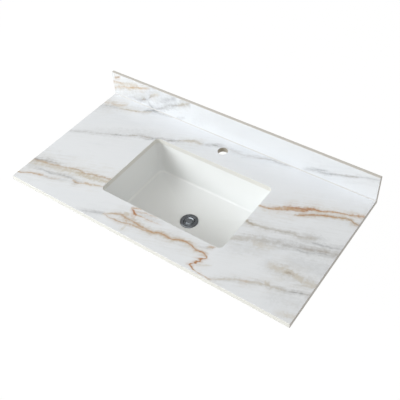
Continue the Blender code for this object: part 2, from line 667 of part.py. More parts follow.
def build_drain_body(axis):
    """The flanged body: its crowned ring, bevelled throat, seat, slots and cartridge hub."""
    rise = FLANGE_HEIGHT - FLANGE_LIP
    ring = quarter((FLANGE_RADIUS - FLANGE_CROWN, -rise), FLANGE_CROWN, rise)[::-1]
    bevel_top = (THROAT_RADIUS + BEVEL_WIDTH, 0)
    bevel_end = (THROAT_RADIUS, -BEVEL_DEPTH)
    inner = filleted(ring[-1], bevel_top, bevel_end, BEVEL_WIDTH / 2, 3)
    inner += filleted(bevel_top, bevel_end, (THROAT_RADIUS, -THROAT_DEPTH), BEVEL_WIDTH / 2, 3)
    inner += [(THROAT_RADIUS, -THROAT_DEPTH), (BORE_RADIUS, -THROAT_DEPTH - SEAT_CONE_DEPTH),
              (BORE_RADIUS, BODY_END), (BODY_RADIUS, BODY_END), (BODY_RADIUS, -FLANGE_HEIGHT),
              (FLANGE_RADIUS, -FLANGE_HEIGHT)]
    body = add_object("drain_body", to_mesh(turned(ring + inner), "drain_body"), "dark_chrome", axis)

    hub = turned([(HUB_BORE, HUB_TOP), (HUB_RADIUS, HUB_TOP), (HUB_RADIUS, HUB_TOP - HUB_HEIGHT),
                  (HUB_BORE, HUB_TOP - HUB_HEIGHT)], 2 * SMALL_ROUND_STEPS)
    boolean(body, add_cutter("hub", to_mesh(hub, "hub"), axis), "UNION")
    inner_end = (HUB_BORE + HUB_RADIUS) / 2
    outer_end = (BORE_RADIUS + BODY_RADIUS) / 2
    rib = [(inner_end, -RIB_SHEET / 2), (outer_end, -RIB_SHEET / 2),
           (outer_end, RIB_SHEET / 2), (inner_end, RIB_SHEET / 2)]
    rib_mesh = to_mesh(upright(rib, HUB_TOP - HUB_HEIGHT + SEAT_GAP, HUB_TOP - SEAT_GAP), "rib")
    turns = [Matrix.Rotation(2 * pi * (k + 1 / 2) / RIB_COUNT, 4, "Z") for k in range(RIB_COUNT)]
    boolean(body, add_cutter("ribs", grouped(rib_mesh, turns, "ribs"), axis), "UNION")

    low = -SLOT_TOP - SLOT_HEIGHT
    window = rounded_outline(SLOT_WIDTH / 2, SLOT_HEIGHT / 2, SLOT_WIDTH / 2 - SEAT_GAP, 1, 1, 4)
    near = BORE_RADIUS - OVERRUN
    points = [(near, y, z + low + SLOT_HEIGHT / 2) for y, z in window]
    slot_mesh = to_mesh(extruded(points, (BODY_RADIUS - BORE_RADIUS + 2 * OVERRUN, 0, 0)), "slot")
    turns = [Matrix.Rotation(2 * pi * k / SLOT_COUNT, 4, "Z") for k in range(SLOT_COUNT)]
    boolean(body, add_cutter("slots", grouped(slot_mesh, turns, "slots"), axis), "DIFFERENCE")


def build_drain_seals(axis):
    """The flange gasket above the basin's floor and the stack that clamps from below."""
    gasket_low = -FLANGE_HEIGHT - SEAT_GAP - GASKET
    gasket = turned([(NUT_INNER_RADIUS, gasket_low), (GASKET_RADIUS, gasket_low),
                     (GASKET_RADIUS, gasket_low + GASKET), (NUT_INNER_RADIUS, gasket_low + GASKET)])
    add_object("flange_gasket", to_mesh(gasket, "flange_gasket"), "rubber", axis)

    top = CONE_GASKET_TOP
    plug = DRAIN_HOLE_RADIUS - SEAT_GAP
    cone = turned([(NUT_INNER_RADIUS, top + CONE_GASKET_PLUG), (plug - SEAT_GAP, top + CONE_GASKET_PLUG),
                   (plug, top), (CONE_GASKET_RADIUS, top), (CONE_GASKET_RADIUS, top - CONE_GASKET_RIM),
                   (CONE_GASKET_FOOT, top - CONE_GASKET_HEIGHT),
                   (NUT_INNER_RADIUS, top - CONE_GASKET_HEIGHT)])
    add_object("tapered_gasket", to_mesh(cone, "tapered_gasket"), "rubber", axis)

    disc_low = FRICTION_TOP - FRICTION_SHEET
    disc = turned([(NUT_INNER_RADIUS, disc_low), (CONE_GASKET_RADIUS, disc_low),
                   (CONE_GASKET_RADIUS, FRICTION_TOP), (NUT_INNER_RADIUS, FRICTION_TOP)])
    add_object("friction_washer", to_mesh(disc, "friction_washer"), "nylon", axis)

    low = LOCK_NUT_TOP - LOCK_NUT_HEIGHT
    hexagon = circle_outline(LOCK_NUT_RADIUS, LOCK_NUT_SIDES)
    blank = upright(hexagon, low, LOCK_NUT_TOP)
    bevel_edges(blank, lambda e: True, LOCK_NUT_CHAMFER, 2)
    nut = add_object("lock_nut", to_mesh(blank, "lock_nut"), "brass", axis)
    bore = upright(circle_outline(NUT_INNER_RADIUS, ROUND_STEPS), low - OVERRUN, LOCK_NUT_TOP + OVERRUN)
    boolean(nut, add_cutter("lock_nut_bore", to_mesh(bore, "lock_nut_bore"), axis), "DIFFERENCE")


def build_tailpiece(axis):
    """The tailpiece: its spigot enters the body, its collar stops on a rubber washer."""
    bore = TAIL_RADIUS - TAIL_WALL
    spigot = BORE_RADIUS - GASKET_PLAY
    collar_low = TAIL_COLLAR_TOP - TAIL_COLLAR_HEIGHT
    end = collar_low - TAIL_LENGTH
    profile = [(bore, end), (TAIL_RADIUS, end), (TAIL_RADIUS, collar_low), (BODY_RADIUS, collar_low),
               (BODY_RADIUS, TAIL_COLLAR_TOP), (spigot, TAIL_COLLAR_TOP),
               (spigot, BODY_END + TAIL_THREAD_LENGTH), (bore, BODY_END + TAIL_THREAD_LENGTH)]
    add_object("tailpiece", to_mesh(turned(profile), "tailpiece"), "dark_chrome", axis)
    washer_top = BODY_END - SEAT_GAP
    washer_low = washer_top - TAIL_WASHER
    washer = turned([(spigot + SEAT_GAP, washer_low), (BODY_RADIUS - SEAT_GAP, washer_low),
                     (BODY_RADIUS - SEAT_GAP, washer_top), (spigot + SEAT_GAP, washer_top)])
    add_object("tailpiece_washer", to_mesh(washer, "tailpiece_washer"), "rubber", axis)


def build_stopper(axis):
    """The cap, its seal and its post, which rise together along the drain's axis."""
    rim = THROAT_RADIUS - CAP_PLAY
    dome = [(rim * step / ARC_STEPS, CAP_TOP + CAP_DOME * (1 - (step / ARC_STEPS) ** 2))
            for step in range(ARC_STEPS)]
    edge = filleted(dome[-1], (rim, CAP_TOP), (rim, CAP_UNDERSIDE), CAP_EDGE, 3)
    socket = POST_RADIUS + SEAT_GAP
    under = [(rim, CAP_UNDERSIDE), (SKIRT_RADIUS, CAP_UNDERSIDE), (SKIRT_RADIUS, SKIRT_END),
             (socket, SKIRT_END), (socket, SKIRT_END + SOCKET_DEPTH), (0, SKIRT_END + SOCKET_DEPTH)]
    add_object("stopper_cap", to_mesh(turned(dome + edge + under), "stopper_cap"), "dark_chrome", axis)

    seal_top = CAP_UNDERSIDE - SEAT_GAP
    seal_end = seal_top - SEAL_HEIGHT
    slope = (THROAT_RADIUS - BORE_RADIUS) / SEAT_CONE_DEPTH
    seat = THROAT_RADIUS - slope * max(-THROAT_DEPTH - seal_end, 0)
    taper_top = max(seal_end + SEAL_HEIGHT / 2, -THROAT_DEPTH + SEAT_GAP)
    inner = SKIRT_RADIUS + SEAT_GAP
    clear = hypot(1, slope) * SEAT_GAP
    profile = [(inner, seal_end), (seat - clear, seal_end), (THROAT_RADIUS - clear, taper_top),
               (THROAT_RADIUS - SEAL_INSET, seal_top), (inner, seal_top)]
    add_object("stopper_seal", to_mesh(turned(profile), "stopper_seal"), "rubber", axis)

    post_top = SKIRT_END + SOCKET_DEPTH - SEAT_GAP
    post = [(0, post_top), (POST_RADIUS, post_top), (POST_RADIUS, SHOULDER_TOP),
            (SHOULDER_RADIUS, SHOULDER_TOP), (SHOULDER_RADIUS, SHOULDER_END), (0, SHOULDER_END)]
    add_object("stopper_post", to_mesh(turned(post, 2 * SMALL_ROUND_STEPS), "stopper_post"), "brass", axis)


def build_cartridge(axis):
    """The sleeve that screws into the body's hub, and the spring that lifts the post."""
    throat = POST_RADIUS + SEAT_GAP
    lip = SLEEVE_TOP - SLEEVE_LIP
    collar = SLEEVE_RADIUS + COLLAR_WIDTH
    spigot_end = HUB_TOP - HUB_HEIGHT
    collar_top = COLLAR_END + COLLAR_HEIGHT
    profile = [(throat, SLEEVE_TOP), (SLEEVE_RADIUS, SLEEVE_TOP), (SLEEVE_RADIUS, collar_top),
               (collar, collar_top), (collar, COLLAR_END), (SPIGOT_RADIUS, COLLAR_END),
               (SPIGOT_RADIUS, spigot_end), (VENT_RADIUS, spigot_end), (VENT_RADIUS, SLEEVE_FLOOR_TOP),
               (SLEEVE_BORE, SLEEVE_FLOOR_TOP), (SLEEVE_BORE, lip), (throat, lip)]
    sleeve = to_mesh(turned(profile, 2 * SMALL_ROUND_STEPS), "cartridge_sleeve")
    add_object("cartridge_sleeve", sleeve, "nylon", axis)

    low = SLEEVE_FLOOR_TOP + SEAT_GAP + SPRING_WIRE_RADIUS
    high = SHOULDER_END - SEAT_GAP - SPRING_WIRE_RADIUS
    mean = SLEEVE_BORE - SPRING_WIRE_RADIUS - 2 * SEAT_GAP
    count = SPRING_TURNS * SPRING_TURN_STEPS
    curve = bpy.data.curves.new("cartridge_spring", "CURVE")
    curve.dimensions = "3D"
    curve.bevel_depth = SPRING_WIRE_RADIUS
    curve.bevel_resolution = 1
    curve.use_fill_caps = True
    spline = curve.splines.new("POLY")
    spline.points.add(count)
    for index, point in enumerate(spline.points):
        angle = 2 * pi * index / SPRING_TURN_STEPS
        point.co = (mean * cos(angle), mean * sin(angle), low + (high - low) * index / count, 1)
    curve.materials.append(finish("steel"))
    spring = bpy.data.objects.new("cartridge_spring", curve)
    bpy.context.scene.collection.objects.link(spring)
    spring.parent = axis


def main():
    clear_scene()
    build_slab()
    build_splash()
    build_basin()
    build_basin_bead()
    build_clamps()
    drain_axis = add_empty("drain_axis", (0, CUTOUT_CENTRE, FLANGE_LEVEL))
    build_drain_body(drain_axis)
    build_drain_seals(drain_axis)
    build_tailpiece(drain_axis)
    build_cartridge(drain_axis)
    stopper_axis = add_empty("stopper_axis", (0, 0, 0), drain_axis)
    build_stopper(stopper_axis)


main()
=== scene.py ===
"""Dresses a vanity sink top: veined slab and backsplash, china basin, dark drain and its clamps.

Lengths are in metres, in the part's own frame: X runs along the slab to the right, Y towards the
wall and Z up, and the slab's underside lies at Z 0. The sizes repeat the part's own.
"""
import logging
from collections.abc import Callable, Iterable, Mapping, Sequence
from dataclasses import dataclass
from enum import Enum
from math import cos, hypot, pi, radians, sin, tan
from typing import Any

import bmesh
import bpy
from mathutils import Matrix, Vector, noise


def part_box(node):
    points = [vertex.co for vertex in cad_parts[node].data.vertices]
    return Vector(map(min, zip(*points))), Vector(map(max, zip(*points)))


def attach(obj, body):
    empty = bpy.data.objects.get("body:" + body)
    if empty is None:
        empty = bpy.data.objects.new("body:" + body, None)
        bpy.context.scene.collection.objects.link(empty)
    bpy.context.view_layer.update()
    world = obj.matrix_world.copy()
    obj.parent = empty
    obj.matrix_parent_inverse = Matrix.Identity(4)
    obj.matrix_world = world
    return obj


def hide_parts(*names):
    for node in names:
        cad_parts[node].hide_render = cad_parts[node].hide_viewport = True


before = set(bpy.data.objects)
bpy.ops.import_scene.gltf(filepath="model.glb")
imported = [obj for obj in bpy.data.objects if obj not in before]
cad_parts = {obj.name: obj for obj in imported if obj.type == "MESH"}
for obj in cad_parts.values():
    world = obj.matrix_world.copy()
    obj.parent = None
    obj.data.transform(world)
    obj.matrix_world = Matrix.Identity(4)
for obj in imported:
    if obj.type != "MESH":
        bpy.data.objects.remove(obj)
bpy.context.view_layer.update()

LOG = logging.getLogger("sink_top")

Point = tuple[float, float]
Outline = list[Point]
Colour = tuple[float, float, float]
Triple = tuple[float, float, float]
Form = bmesh.types.BMesh

MERGE = 0.000001
OVERRUN = 0.002
SEAT_GAP = 0.0003
ARC_STEPS = 8
CORNER_STEPS = 12
TURN_STEPS = 128
SMALL_TURN_STEPS = 40
SMOOTH_ANGLE = radians(38)
THREAD_STEPS = 32
THREAD_ROOT = 0.0002
THREAD_CREST_SHARES = (0.42, 0.56)
THREAD_FOOT_SHARE = 0.98
WHITE = (1.0, 1.0, 1.0)
FLAT_ANGLE = radians(1)
SOFT_ANGLE = radians(12)
SHARP_ANGLE = radians(30)
ROUND_SHARE = 0.4
FINE_ROUND = 0.0003
SOFT_ROUND = 0.0004
FULL_ROUND = 0.0005
WIDE_ROUND = 0.0006
FAUCET_SETBACK = 0.0717
FAUCET_WALL = 0.0185
EDGE = 0.004


def maths(operation: str, reflected: bool = False) -> Callable[["Socket", Any], "Socket"]:
    """Makes a method of Socket that adds one Math node.

    Args:
        operation: What the node does.
        reflected: Whether the socket comes second, as in 1 - mask.

    Returns:
        The method.
    """
    def method(self: "Socket", other: Any) -> "Socket":
        """Works on the socket and a socket or number."""
        terms = (other, self) if reflected else (self, other)
        return self.tree.add("Math", {"operation": operation}, dict(enumerate(terms)))
    return method


class Socket:
    """A value in a shader's tree. Arithmetic on it adds Math nodes."""

    def __init__(self, tree: "Tree", link: bpy.types.NodeSocket) -> None:
        """Wraps an output socket of a tree."""
        self.tree = tree
        self.link = link

    __add__, __radd__ = maths("ADD"), maths("ADD", True)
    __sub__, __rsub__ = maths("SUBTRACT"), maths("SUBTRACT", True)
    __mul__, __rmul__ = maths("MULTIPLY"), maths("MULTIPLY", True)
    __truediv__ = maths("DIVIDE")
    highest = maths("MAXIMUM")

    def between(self, low: float, high: float) -> "Socket":
        """Maps a range to 0..1 with ends that ease in, and stays in 0..1 outside it.

        Args:
            low: What becomes 0.
            high: What becomes 1. It may be the lower of the two.

        Returns:
            The mapped value.
        """
        return self.tree.add("MapRange",
                             {"interpolation_type": "SMOOTHSTEP", "clamp": False},
                             {"Value": self, "From Min": low, "From Max": high})


class Tree:
    """The nodes of a material or of the world."""

    def __init__(self, owner: bpy.types.Material | bpy.types.World) -> None:
        """Empties the owner's nodes."""
        owner.use_nodes = True
        self.nodes = owner.node_tree.nodes
        self.links = owner.node_tree.links
        self.nodes.clear()

    def node(self, kind: str, settings: Mapping[str, Any] | None = None,
             inputs: Mapping[Any, Any] | None = None) -> bpy.types.Node:
        """Adds a node, sets it up and feeds it.

        Args:
            kind: The node's type, without the ShaderNode that every type starts with.
            settings: Its properties. "curves" fills the channels of a curve node.
            inputs: Values or sockets, by an input's identifier, name or number.

        Returns:
            The node.
        """
        made = self.nodes.new(f"ShaderNode{kind}")
        for name, value in (settings or {}).items():
            if name == "curves":
                self._fill_curves(made.mapping, value)
            else:
                setattr(made, name, value)
        for name, value in (inputs or {}).items():
            target = self._find(made.inputs, name)
            if isinstance(value, Socket):
                self.links.new(value.link, target)
            elif isinstance(value, tuple) and target.type == "RGBA":
                target.default_value = (*value, 1)
            else:
                target.default_value = value
        return made

    def add(self, kind: str, settings: Mapping[str, Any] | None = None,
            inputs: Mapping[Any, Any] | None = None, output: str | int = 0) -> Socket:
        """Adds a node as node() does, and gives back one of its outputs."""
        return Socket(self, self._find(self.node(kind, settings, inputs).outputs, output))

    @staticmethod
    def _find(sockets: Any, name: str | int) -> bpy.types.NodeSocket:
        """Finds a socket by its identifier, its name or its number."""
        for socket in sockets:
            if socket.identifier == name:
                return socket
        return sockets[name]

    @staticmethod
    def _fill_curves(mapping: bpy.types.CurveMapping, curves: Iterable[Sequence[Point]]) -> None:
        """Gives each channel of a curve node its points."""
        for curve, points in zip(mapping.curves, curves):
            for _ in points[2:]:
                curve.points.new(0.5, 0.5)
            for made, point in zip(curve.points, points):
                made.location = point
                made.handle_type = "AUTO_CLAMPED"
        mapping.extend = "HORIZONTAL"
        mapping.update()

    def blend(self, factor: Any, first: Any, second: Any) -> Socket:
        """Mixes two colours: the first where the factor is 0, the second where it is 1."""
        return self.add("Mix", {"data_type": "RGBA"},
                        {"Factor_Float": factor, "A_Color": first, "B_Color": second},
                        "Result_Color")

    def vector(self, operation: str, first: Any, second: Any, output: str = "Vector") -> Socket:
        """Works on two vectors, or on a vector and a number for SCALE."""
        key = "Scale" if operation == "SCALE" else 1
        return self.add("VectorMath", {"operation": operation},
                        {0: first, key: second}, output)

    def parts(self, vector: Any, kind: str = "SeparateXYZ") -> tuple[Socket, ...]:
        """Splits a vector, or a colour with the node for that, into its three numbers."""
        made = self.node(kind, None, {0: vector})
        return tuple(Socket(self, output) for output in made.outputs)

    def curves(self, at: Socket, channels: Sequence[Sequence[Point]]) -> tuple[Socket, ...]:
        """Reads three curves at one number. No type changes on the way, which keeps it small."""
        spot = self.add("CombineColor", None, {0: at, 1: at, 2: at})
        read = self.add("RGBCurve", {"curves": channels}, {"Color": spot})
        return self.parts(read, "SeparateColor")

    def place(self) -> Socket:
        """The point on the piece."""
        return self.add("TexCoord", output="Object")

    def facing(self) -> Socket:
        """The surface's direction."""
        return self.add("NewGeometry", output="Normal")

    def noise(self, scale: float, detail: float = 2.0, at: Socket | None = None,
              roughness: float = 0.5, output: int = 0) -> Socket:
        """Adds a noise.

        Args:
            scale: Its cells per metre.
            detail: Its octaves.
            at: Where it is read, the point on the piece by default.
            roughness: How strong the fine octaves are.
            output: 0 for its value, 1 for three values as a colour.

        Returns:
            The noise, which lies round 0.5.
        """
        return self.add("TexNoise", None,
                        {"Vector": at or self.place(), "Scale": scale, "Detail": detail,
                         "Roughness": roughness}, output)

    def stretched(self, factors: Triple, turn: Triple = (0.0, 0.0, 0.0)) -> Socket:
        """The point on the piece, turned back and stretched, for a pattern with a direction."""
        return self.add("Mapping", {"vector_type": "TEXTURE"},
                        {"Vector": self.place(), "Rotation": turn,
                         "Scale": tuple(1 / factor for factor in factors)})

    def bump(self, height: Any, distance: float, strength: float = 1.0) -> Socket:
        """Turns a height of 0..1 and the size of 1 in metres into a surface direction."""
        return self.add("Bump", None,
                        {"Height": height, "Distance": distance, "Strength": strength})

    def close(self, kind: str, shader: Socket) -> None:
        """Links a shader to a new output node."""
        self.node(kind, None, {"Surface": shader})


def shaded(colour: Colour, factor: float) -> Colour:
    """A colour made lighter or darker."""
    return tuple(channel * factor for channel in colour)


@dataclass(frozen=True)
class Finish:
    """A finish: its name, the record's slot, and a colour, roughness and metal share."""

    name: str
    slot: str
    colour: Colour
    roughness: float
    metallic: float = 0.0

    def material(self) -> bpy.types.Material:
        """Makes the material on first use and gives it back."""
        found = bpy.data.materials.get(self.name)
        if found:
            return found
        made = bpy.data.materials.new(self.name)
        tree = Tree(made)
        inputs = {"Base Color": self.colour, "Roughness": self.roughness,
                  "Metallic": self.metallic} | self.surface(tree)
        tree.close("OutputMaterial",
                   tree.add("BsdfPrincipled", None, inputs))
        made.diffuse_color = (*self.colour, 1)
        return made

    def surface(self, tree: Tree) -> dict[str, Any]:
        """What varies over the surface, as inputs of the shader."""
        return {}


@dataclass(frozen=True)
class China(Finish):
    """Vitreous china: glossy glaze inside, a thin rough spray of glaze outside."""

    back: Colour = (0.74, 0.725, 0.68)
    fold_highlight: Colour = (0.925, 0.932, 0.925)
    centre: Triple = (0.0, -0.2701, 0.0)

    def surface(self, tree: Tree) -> dict[str, Any]:
        """The inside faces the basin's centre, with a painted highlight along its folds that fades
        towards the right.
        """
        reach = tree.vector("SUBTRACT", tree.place(), self.centre)
        outward = tree.vector("DOT_PRODUCT", tree.facing(), reach, "Value")
        outside = outward.between(0.0, 0.004)
        cloud = tree.noise(9, 3).between(0.35, 0.65)
        even = tree.blend(cloud * 0.5, self.colour, shaded(self.colour, 0.985))
        up, rightward = tree.parts(tree.facing())[2], tree.parts(reach)[0]
        # Painted highlight: the folds between the walls and the floor get a paler colour, less of
        # it towards the right.
        fold = up.between(0.35, 0.6) * up.between(0.97, 0.85) * rightward.between(0.20, -0.30)
        glaze = tree.blend(fold, even, self.fold_highlight)
        speck = tree.noise(420, 2).between(0.70, 0.76)
        rough_body = tree.blend(tree.noise(60, 4).between(0.4, 0.7) * 0.5, self.back,
                                shaded(self.back, 0.9))
        raw = tree.blend(speck * 0.5, rough_body, (0.45, 0.38, 0.30))
        peel = tree.noise(160, 3) * outside + tree.noise(24, 2) * (1 - outside) * 0.3
        smear = tree.noise(13, 3).between(0.2, 0.8) * 0.02
        return {
            "Base Color": tree.blend(outside, glaze, raw),
            "Roughness": self.roughness + smear + outside * 0.3,
            "Specular IOR Level": 0.15,
            "Normal": tree.bump(peel, 0.00025, 0.5),
        }


@dataclass(frozen=True)
class Metal(Finish):
    """Metal with fine grain, faint smears and darker pits."""

    grain: Triple = (600.0, 600.0, 600.0)
    grain_height: float = 0.000004
    smear: float = 0.12
    tarnish: float = 0.0

    def surface(self, tree: Tree) -> dict[str, Any]:
        """Grain along one direction, and roughness that wanders."""
        lines = tree.noise(1.0, 3, tree.stretched(self.grain))
        cloud = tree.noise(55, 4).between(0.35, 0.7)
        fine = tree.noise(1300, 2).between(0.4, 0.7)
        colour = tree.blend(cloud * self.tarnish, self.colour, shaded(self.colour, 0.55))
        return {
            "Base Color": tree.blend(fine * 0.08, colour, shaded(self.colour, 0.8)),
            "Roughness": self.roughness + cloud * self.smear + fine * self.smear * 0.3,
            "Normal": tree.bump(lines, self.grain_height, 0.6),
        }


@dataclass(frozen=True)
class Moulded(Finish):
    """Rubber, silicone or nylon: a fine skin with paler bloom."""

    bloom: float = 0.1
    skin: float = 1400.0
    skin_height: float = 0.00002
    wave: float = 0.0

    def surface(self, tree: Tree) -> dict[str, Any]:
        """The skin's grain, slow waves and pale bloom."""
        cloud = tree.noise(70, 4).between(0.4, 0.75)
        pale = tuple(channel * 0.8 + 0.12 for channel in self.colour)
        grain = tree.noise(self.skin, 2) + tree.noise(120, 2) * self.wave
        return {
            "Base Color": tree.blend(cloud * self.bloom, self.colour, pale),
            "Roughness": self.roughness + cloud * 0.1,
            "Normal": tree.bump(grain, self.skin_height, 0.7),
        }


class Pigment(Enum):
    """The inks of the printed pattern, in the order in which they are laid."""

    MIST = (0.630, 0.642, 0.662)
    BEIGE = (0.600, 0.550, 0.468)
    SLATE = (0.300, 0.305, 0.325)
    UMBER = (0.330, 0.262, 0.195)
    GOLD = (0.540, 0.362, 0.215)
    RUST = (0.400, 0.165, 0.065)


MIST, BEIGE, SLATE, UMBER, GOLD, RUST = Pigment


class Course(Enum):
    """Which way a vein's path is read."""

    LENGTHWAYS = 0
    CROSSWAYS = 1


@dataclass(frozen=True)
class Vein:
    """One vein of the printed pattern.

    Its rows hold numbers in pairs. The path's are shares of the sheet's length and of its width.
    The forces' and the spreads' are a share of the length, or of the width if the vein runs
    crossways, and how strong or how wide the vein is there.
    """

    ink: Pigment
    width: float
    path: tuple[float, ...]
    forces: tuple[float, ...]
    spreads: tuple[float, ...] = ()
    skew: float = 1.0
    haze: float = 0.25
    course: Course = Course.LENGTHWAYS


def pairs(row: Sequence[float]) -> list[Point]:
    """The points of a row that holds their two numbers by turns."""
    return list(zip(row[::2], row[1::2]))


@dataclass(frozen=True)
class VeinedSheet(Finish):
    """Sintered stone: a printed and polished face, and plain ground edges."""

    corner: Triple = (0.0, 0.0, 0.0)
    size: Triple = (1.0, 1.0, 1.0)
    upright: bool = False
    veins: tuple[Vein, ...] = ()
    body: Colour = (0.758, 0.748, 0.710)
    top_edge: Colour = (0.59, 0.56, 0.52)
    # Painted shade: the colour for both ends of a sheet, darker than the body.
    end_shade: Colour = (0.52, 0.49, 0.465)
    bore: Triple | None = None
    # Painted shade: the colour for the wall of the faucet hole.
    bore_shade: Colour = (0.40, 0.36, 0.30)
    slant: float = radians(20)
    swell: float = 1.3
    haze_reach: float = 4.0
    warps: tuple[Triple, ...] = ((16, 2, 0.011), (48, 2, 0.006), (130, 3, 0.0045))

    def surface(self, tree: Tree) -> dict[str, Any]:
        """The printed face, the plain body, and the polish with its faint ripple."""
        _, towards_wall, up = tree.parts(tree.facing())
        face = (towards_wall * -1 if self.upright else up).between(0.86, 0.96)
        colour = tree.blend(face, self._body(tree, up), self._printed(tree))
        polish = 0.12 + tree.noise(7, 3) * 0.08
        ripple = tree.noise(80, 2) * face + tree.noise(900, 3) * (1 - face) * 0.04
        return {
            "Base Color": colour,
            "Roughness": polish * face + (1 - face) * 0.6,
            "Normal": tree.bump(ripple, 0.00005, 0.5),
        }

    def _body(self, tree: Tree, up: Socket) -> Socket:
        """The fired body on the edges, darker where it faces up, with fine grains, and painted
        shade in the faucet hole and on both ends.
        """
        crest = up.between(0.6, 0.9)
        plain = tree.blend(crest, self.body, self.top_edge) if self.upright else self.body
        # Painted shade: the faucet hole's wall gets a darker colour.
        if self.bore:
            flat = tree.vector("MULTIPLY", tree.place(), (1.0, 1.0, 0.0))
            away = tree.vector("DISTANCE", flat, (*self.bore[:2], 0.0), "Value")
            bore_shade_mask = away.between(self.bore[2], self.bore[2] - 0.0005)
            plain = tree.blend(bore_shade_mask, plain, self.bore_shade)
        # Painted shade: both ends get a darker colour.
        reach, half = tree.parts(tree.place())[0], self.size[0] / 2
        ends = reach.highest(reach * -1).between(half - 0.003, half - 0.001)
        plain = tree.blend(ends, plain, self.end_shade)
        grain = tree.noise(1500, 2).between(0.35, 0.65)
        cloud = tree.noise(22, 3).between(0.3, 0.7)
        return tree.blend(grain * 0.05 + cloud * 0.15, plain, shaded(self.body, 0.86))

    def _streaks(self, tree: Tree, along: float, across: float, detail: float = 3) -> Socket:
        """A noise drawn out along the veins, with its cells per metre along and across them."""
        factors, turn = (along, across, 1.0), (0, 0, self.slant)
        if self.upright:
            factors, turn = (along, 1.0, across), (0, -self.slant, 0)
        return tree.noise(1.0, detail, tree.stretched(factors, turn))

    def _ground(self, tree: Tree) -> Socket:
        """The white between the veins, with faint drifts that run along them."""
        cool = (self.colour[0] * 0.895, self.colour[1] * 0.912, self.colour[2] * 0.935)
        amount = (self._streaks(tree, 2.2, 9.0, 4).between(0.45, 0.80) * 0.55
                  + self._streaks(tree, 7.0, 55.0).between(0.54, 0.78) * 0.18)
        return tree.blend(amount, self.colour, cool)

    def _warped(self, tree: Tree) -> Socket:
        """The point on the sheet, moved a little so that each vein wanders."""
        point = tree.place()
        for scale, detail, reach in self.warps:
            push = tree.vector("SUBTRACT", tree.noise(scale, detail, output=1), (0.5, 0.5, 0.5))
            point = tree.vector("ADD", point, tree.vector("SCALE", push, reach))
        return point

    def _printed(self, tree: Tree) -> Socket:
        """Lays every vein over the ground, one ink after the other."""
        colour = self._ground(tree)
        numbers = tree.parts(self._warped(tree))
        depth_axis = 2 if self.upright else 1
        along = (numbers[0] - self.corner[0]) / self.size[0]
        across = (numbers[depth_axis] - self.corner[depth_axis]) / self.size[depth_axis]
        streaks = self._streaks(tree, 14.0, 130.0, 4) - 0.5
        ragged = (tree.noise(95, 4, roughness=0.65) - 0.5) * 1.7 + streaks * 1.1
        cloudy = (tree.noise(34, 4, roughness=0.6) - 0.5) * 1.2 + streaks * 1.5
        mottle = 0.62 + tree.noise(75, 4, roughness=0.6).between(0.32, 0.62) * 0.42
        for ink in Pigment:
            amount = None
            for vein in self.veins:
                if vein.ink is ink:
                    laid = self._laid(tree, vein, (along, across), ragged, cloudy)
                    amount = laid if amount is None else amount.highest(laid)
            if amount is not None:
                colour = tree.blend(amount * mottle, colour, ink.value)
        return colour

    def _laid(self, tree: Tree, vein: Vein, place: tuple[Socket, Socket], ragged: Socket,
              cloudy: Socket) -> Socket:
        """How strong one vein is at a point.

        Args:
            tree: The material's nodes.
            vein: The vein.
            place: The point's shares of the sheet's length and of its width.
            ragged: What makes the vein's edges uneven.
            cloudy: What makes the haze round it uneven.

        Returns:
            The strength, 0 to 1.
        """
        crossways = vein.course is Course.CROSSWAYS
        run, side = reversed(place) if crossways else place
        side_size = self.size[0] if crossways else self.size[2 if self.upright else 1]
        path = sorted((b, a) if crossways else (a, b) for a, b in pairs(vein.path))
        start, end = path[0][0], path[-1][0]
        spreads = pairs(vein.spreads) or [(start, 1.0), (end, 1.0)]
        forces = dict(pairs(vein.forces)) | {at: 0.0 for at in (start, end) if EDGE < at < 1 - EDGE}
        channels = [[((at - start) / (end - start), value) for at, value in sorted(points)]
                    for points in (path, spreads, forces.items())]
        line, spread, force = tree.curves((run - start) / (end - start), channels)
        off = (side - line) * (side_size / vein.width / self.swell) / spread
        off = off.highest(off * -vein.skew)
        core = (off + ragged).between(1.0, 0.1)
        haze = (off * (1 / self.haze_reach) + cloudy).between(0.9, 0.0)
        return core.highest(haze * vein.haze) * force


MAIN_PATH = (0, .505, .03, .53, .05, .55, .07, .565, .1, .59, .135, .617, .15, .63, .165, .645,
    .185, .67, .205, .7, .235, .722, .255, .728, .275, .745, .3, .765, .33, .785, .355, .81,
    .38, .84, .41, .855, .44, .87, .46, .89, .485, .9, .53, .905, .56, .905, .59, .92, .62, .94,
    .64, .955, .68, .965, .71, .97, .75, .995)
LEFT_GOLD_PATH = (0, .18, .02, .185, .05, .195, .07, .2, .09, .215, .11, .225, .13, .24, .145, .25,
    .17, .253, .195, .258, .215, .272, .235, .275, .25, .29, .265, .295, .28, .303, .295, .31)
FRONT_ENTRY_PATH = (.26, 0, .3, .02, .32, .035, .34, .055, .357, .068)
FRONT_LOW_PATH = (.35, .062, .357, .065, .375, .055, .395, .062, .415, .065, .43, .073, .437, .078,
    .45, .082, .475, .088, .5, .092, .525, .103)
FRONT_HIGH_PATH = (.35, .06, .365, .078, .375, .09, .385, .1, .4, .108, .42, .103, .45, .105,
    .48, .104, .51, .103, .52, .102, .535, .11, .55, .12, .565, .122, .58, .12, .595, .132,
    .61, .143, .625, .148, .64, .145, .65, .14, .66, .132, .675, .13, .69, .132, .7, .125,
    .706, .118)
HOOK_PATH = (.7, .01, .688, .022, .68, .032, .682, .045, .69, .054, .69, .068, .695, .08,
    .692, .092, .697, .105, .703, .115, .702, .125)
RIGHT_GOLD_PATH = (.715, .594, .75, .604, .765, .617, .78, .636, .8, .66, .82, .68, .84, .702,
    .86, .728, .88, .738, .9, .755, .92, .773, .94, .788, .96, .802, .98, .818, 1, .833)
RIGHT_GOLD_TOP = (.725, .597, .75, .608, .765, .63, .78, .648, .8, .675, .82, .695, .84, .715,
    .86, .735, .88, .742, .9, .758)
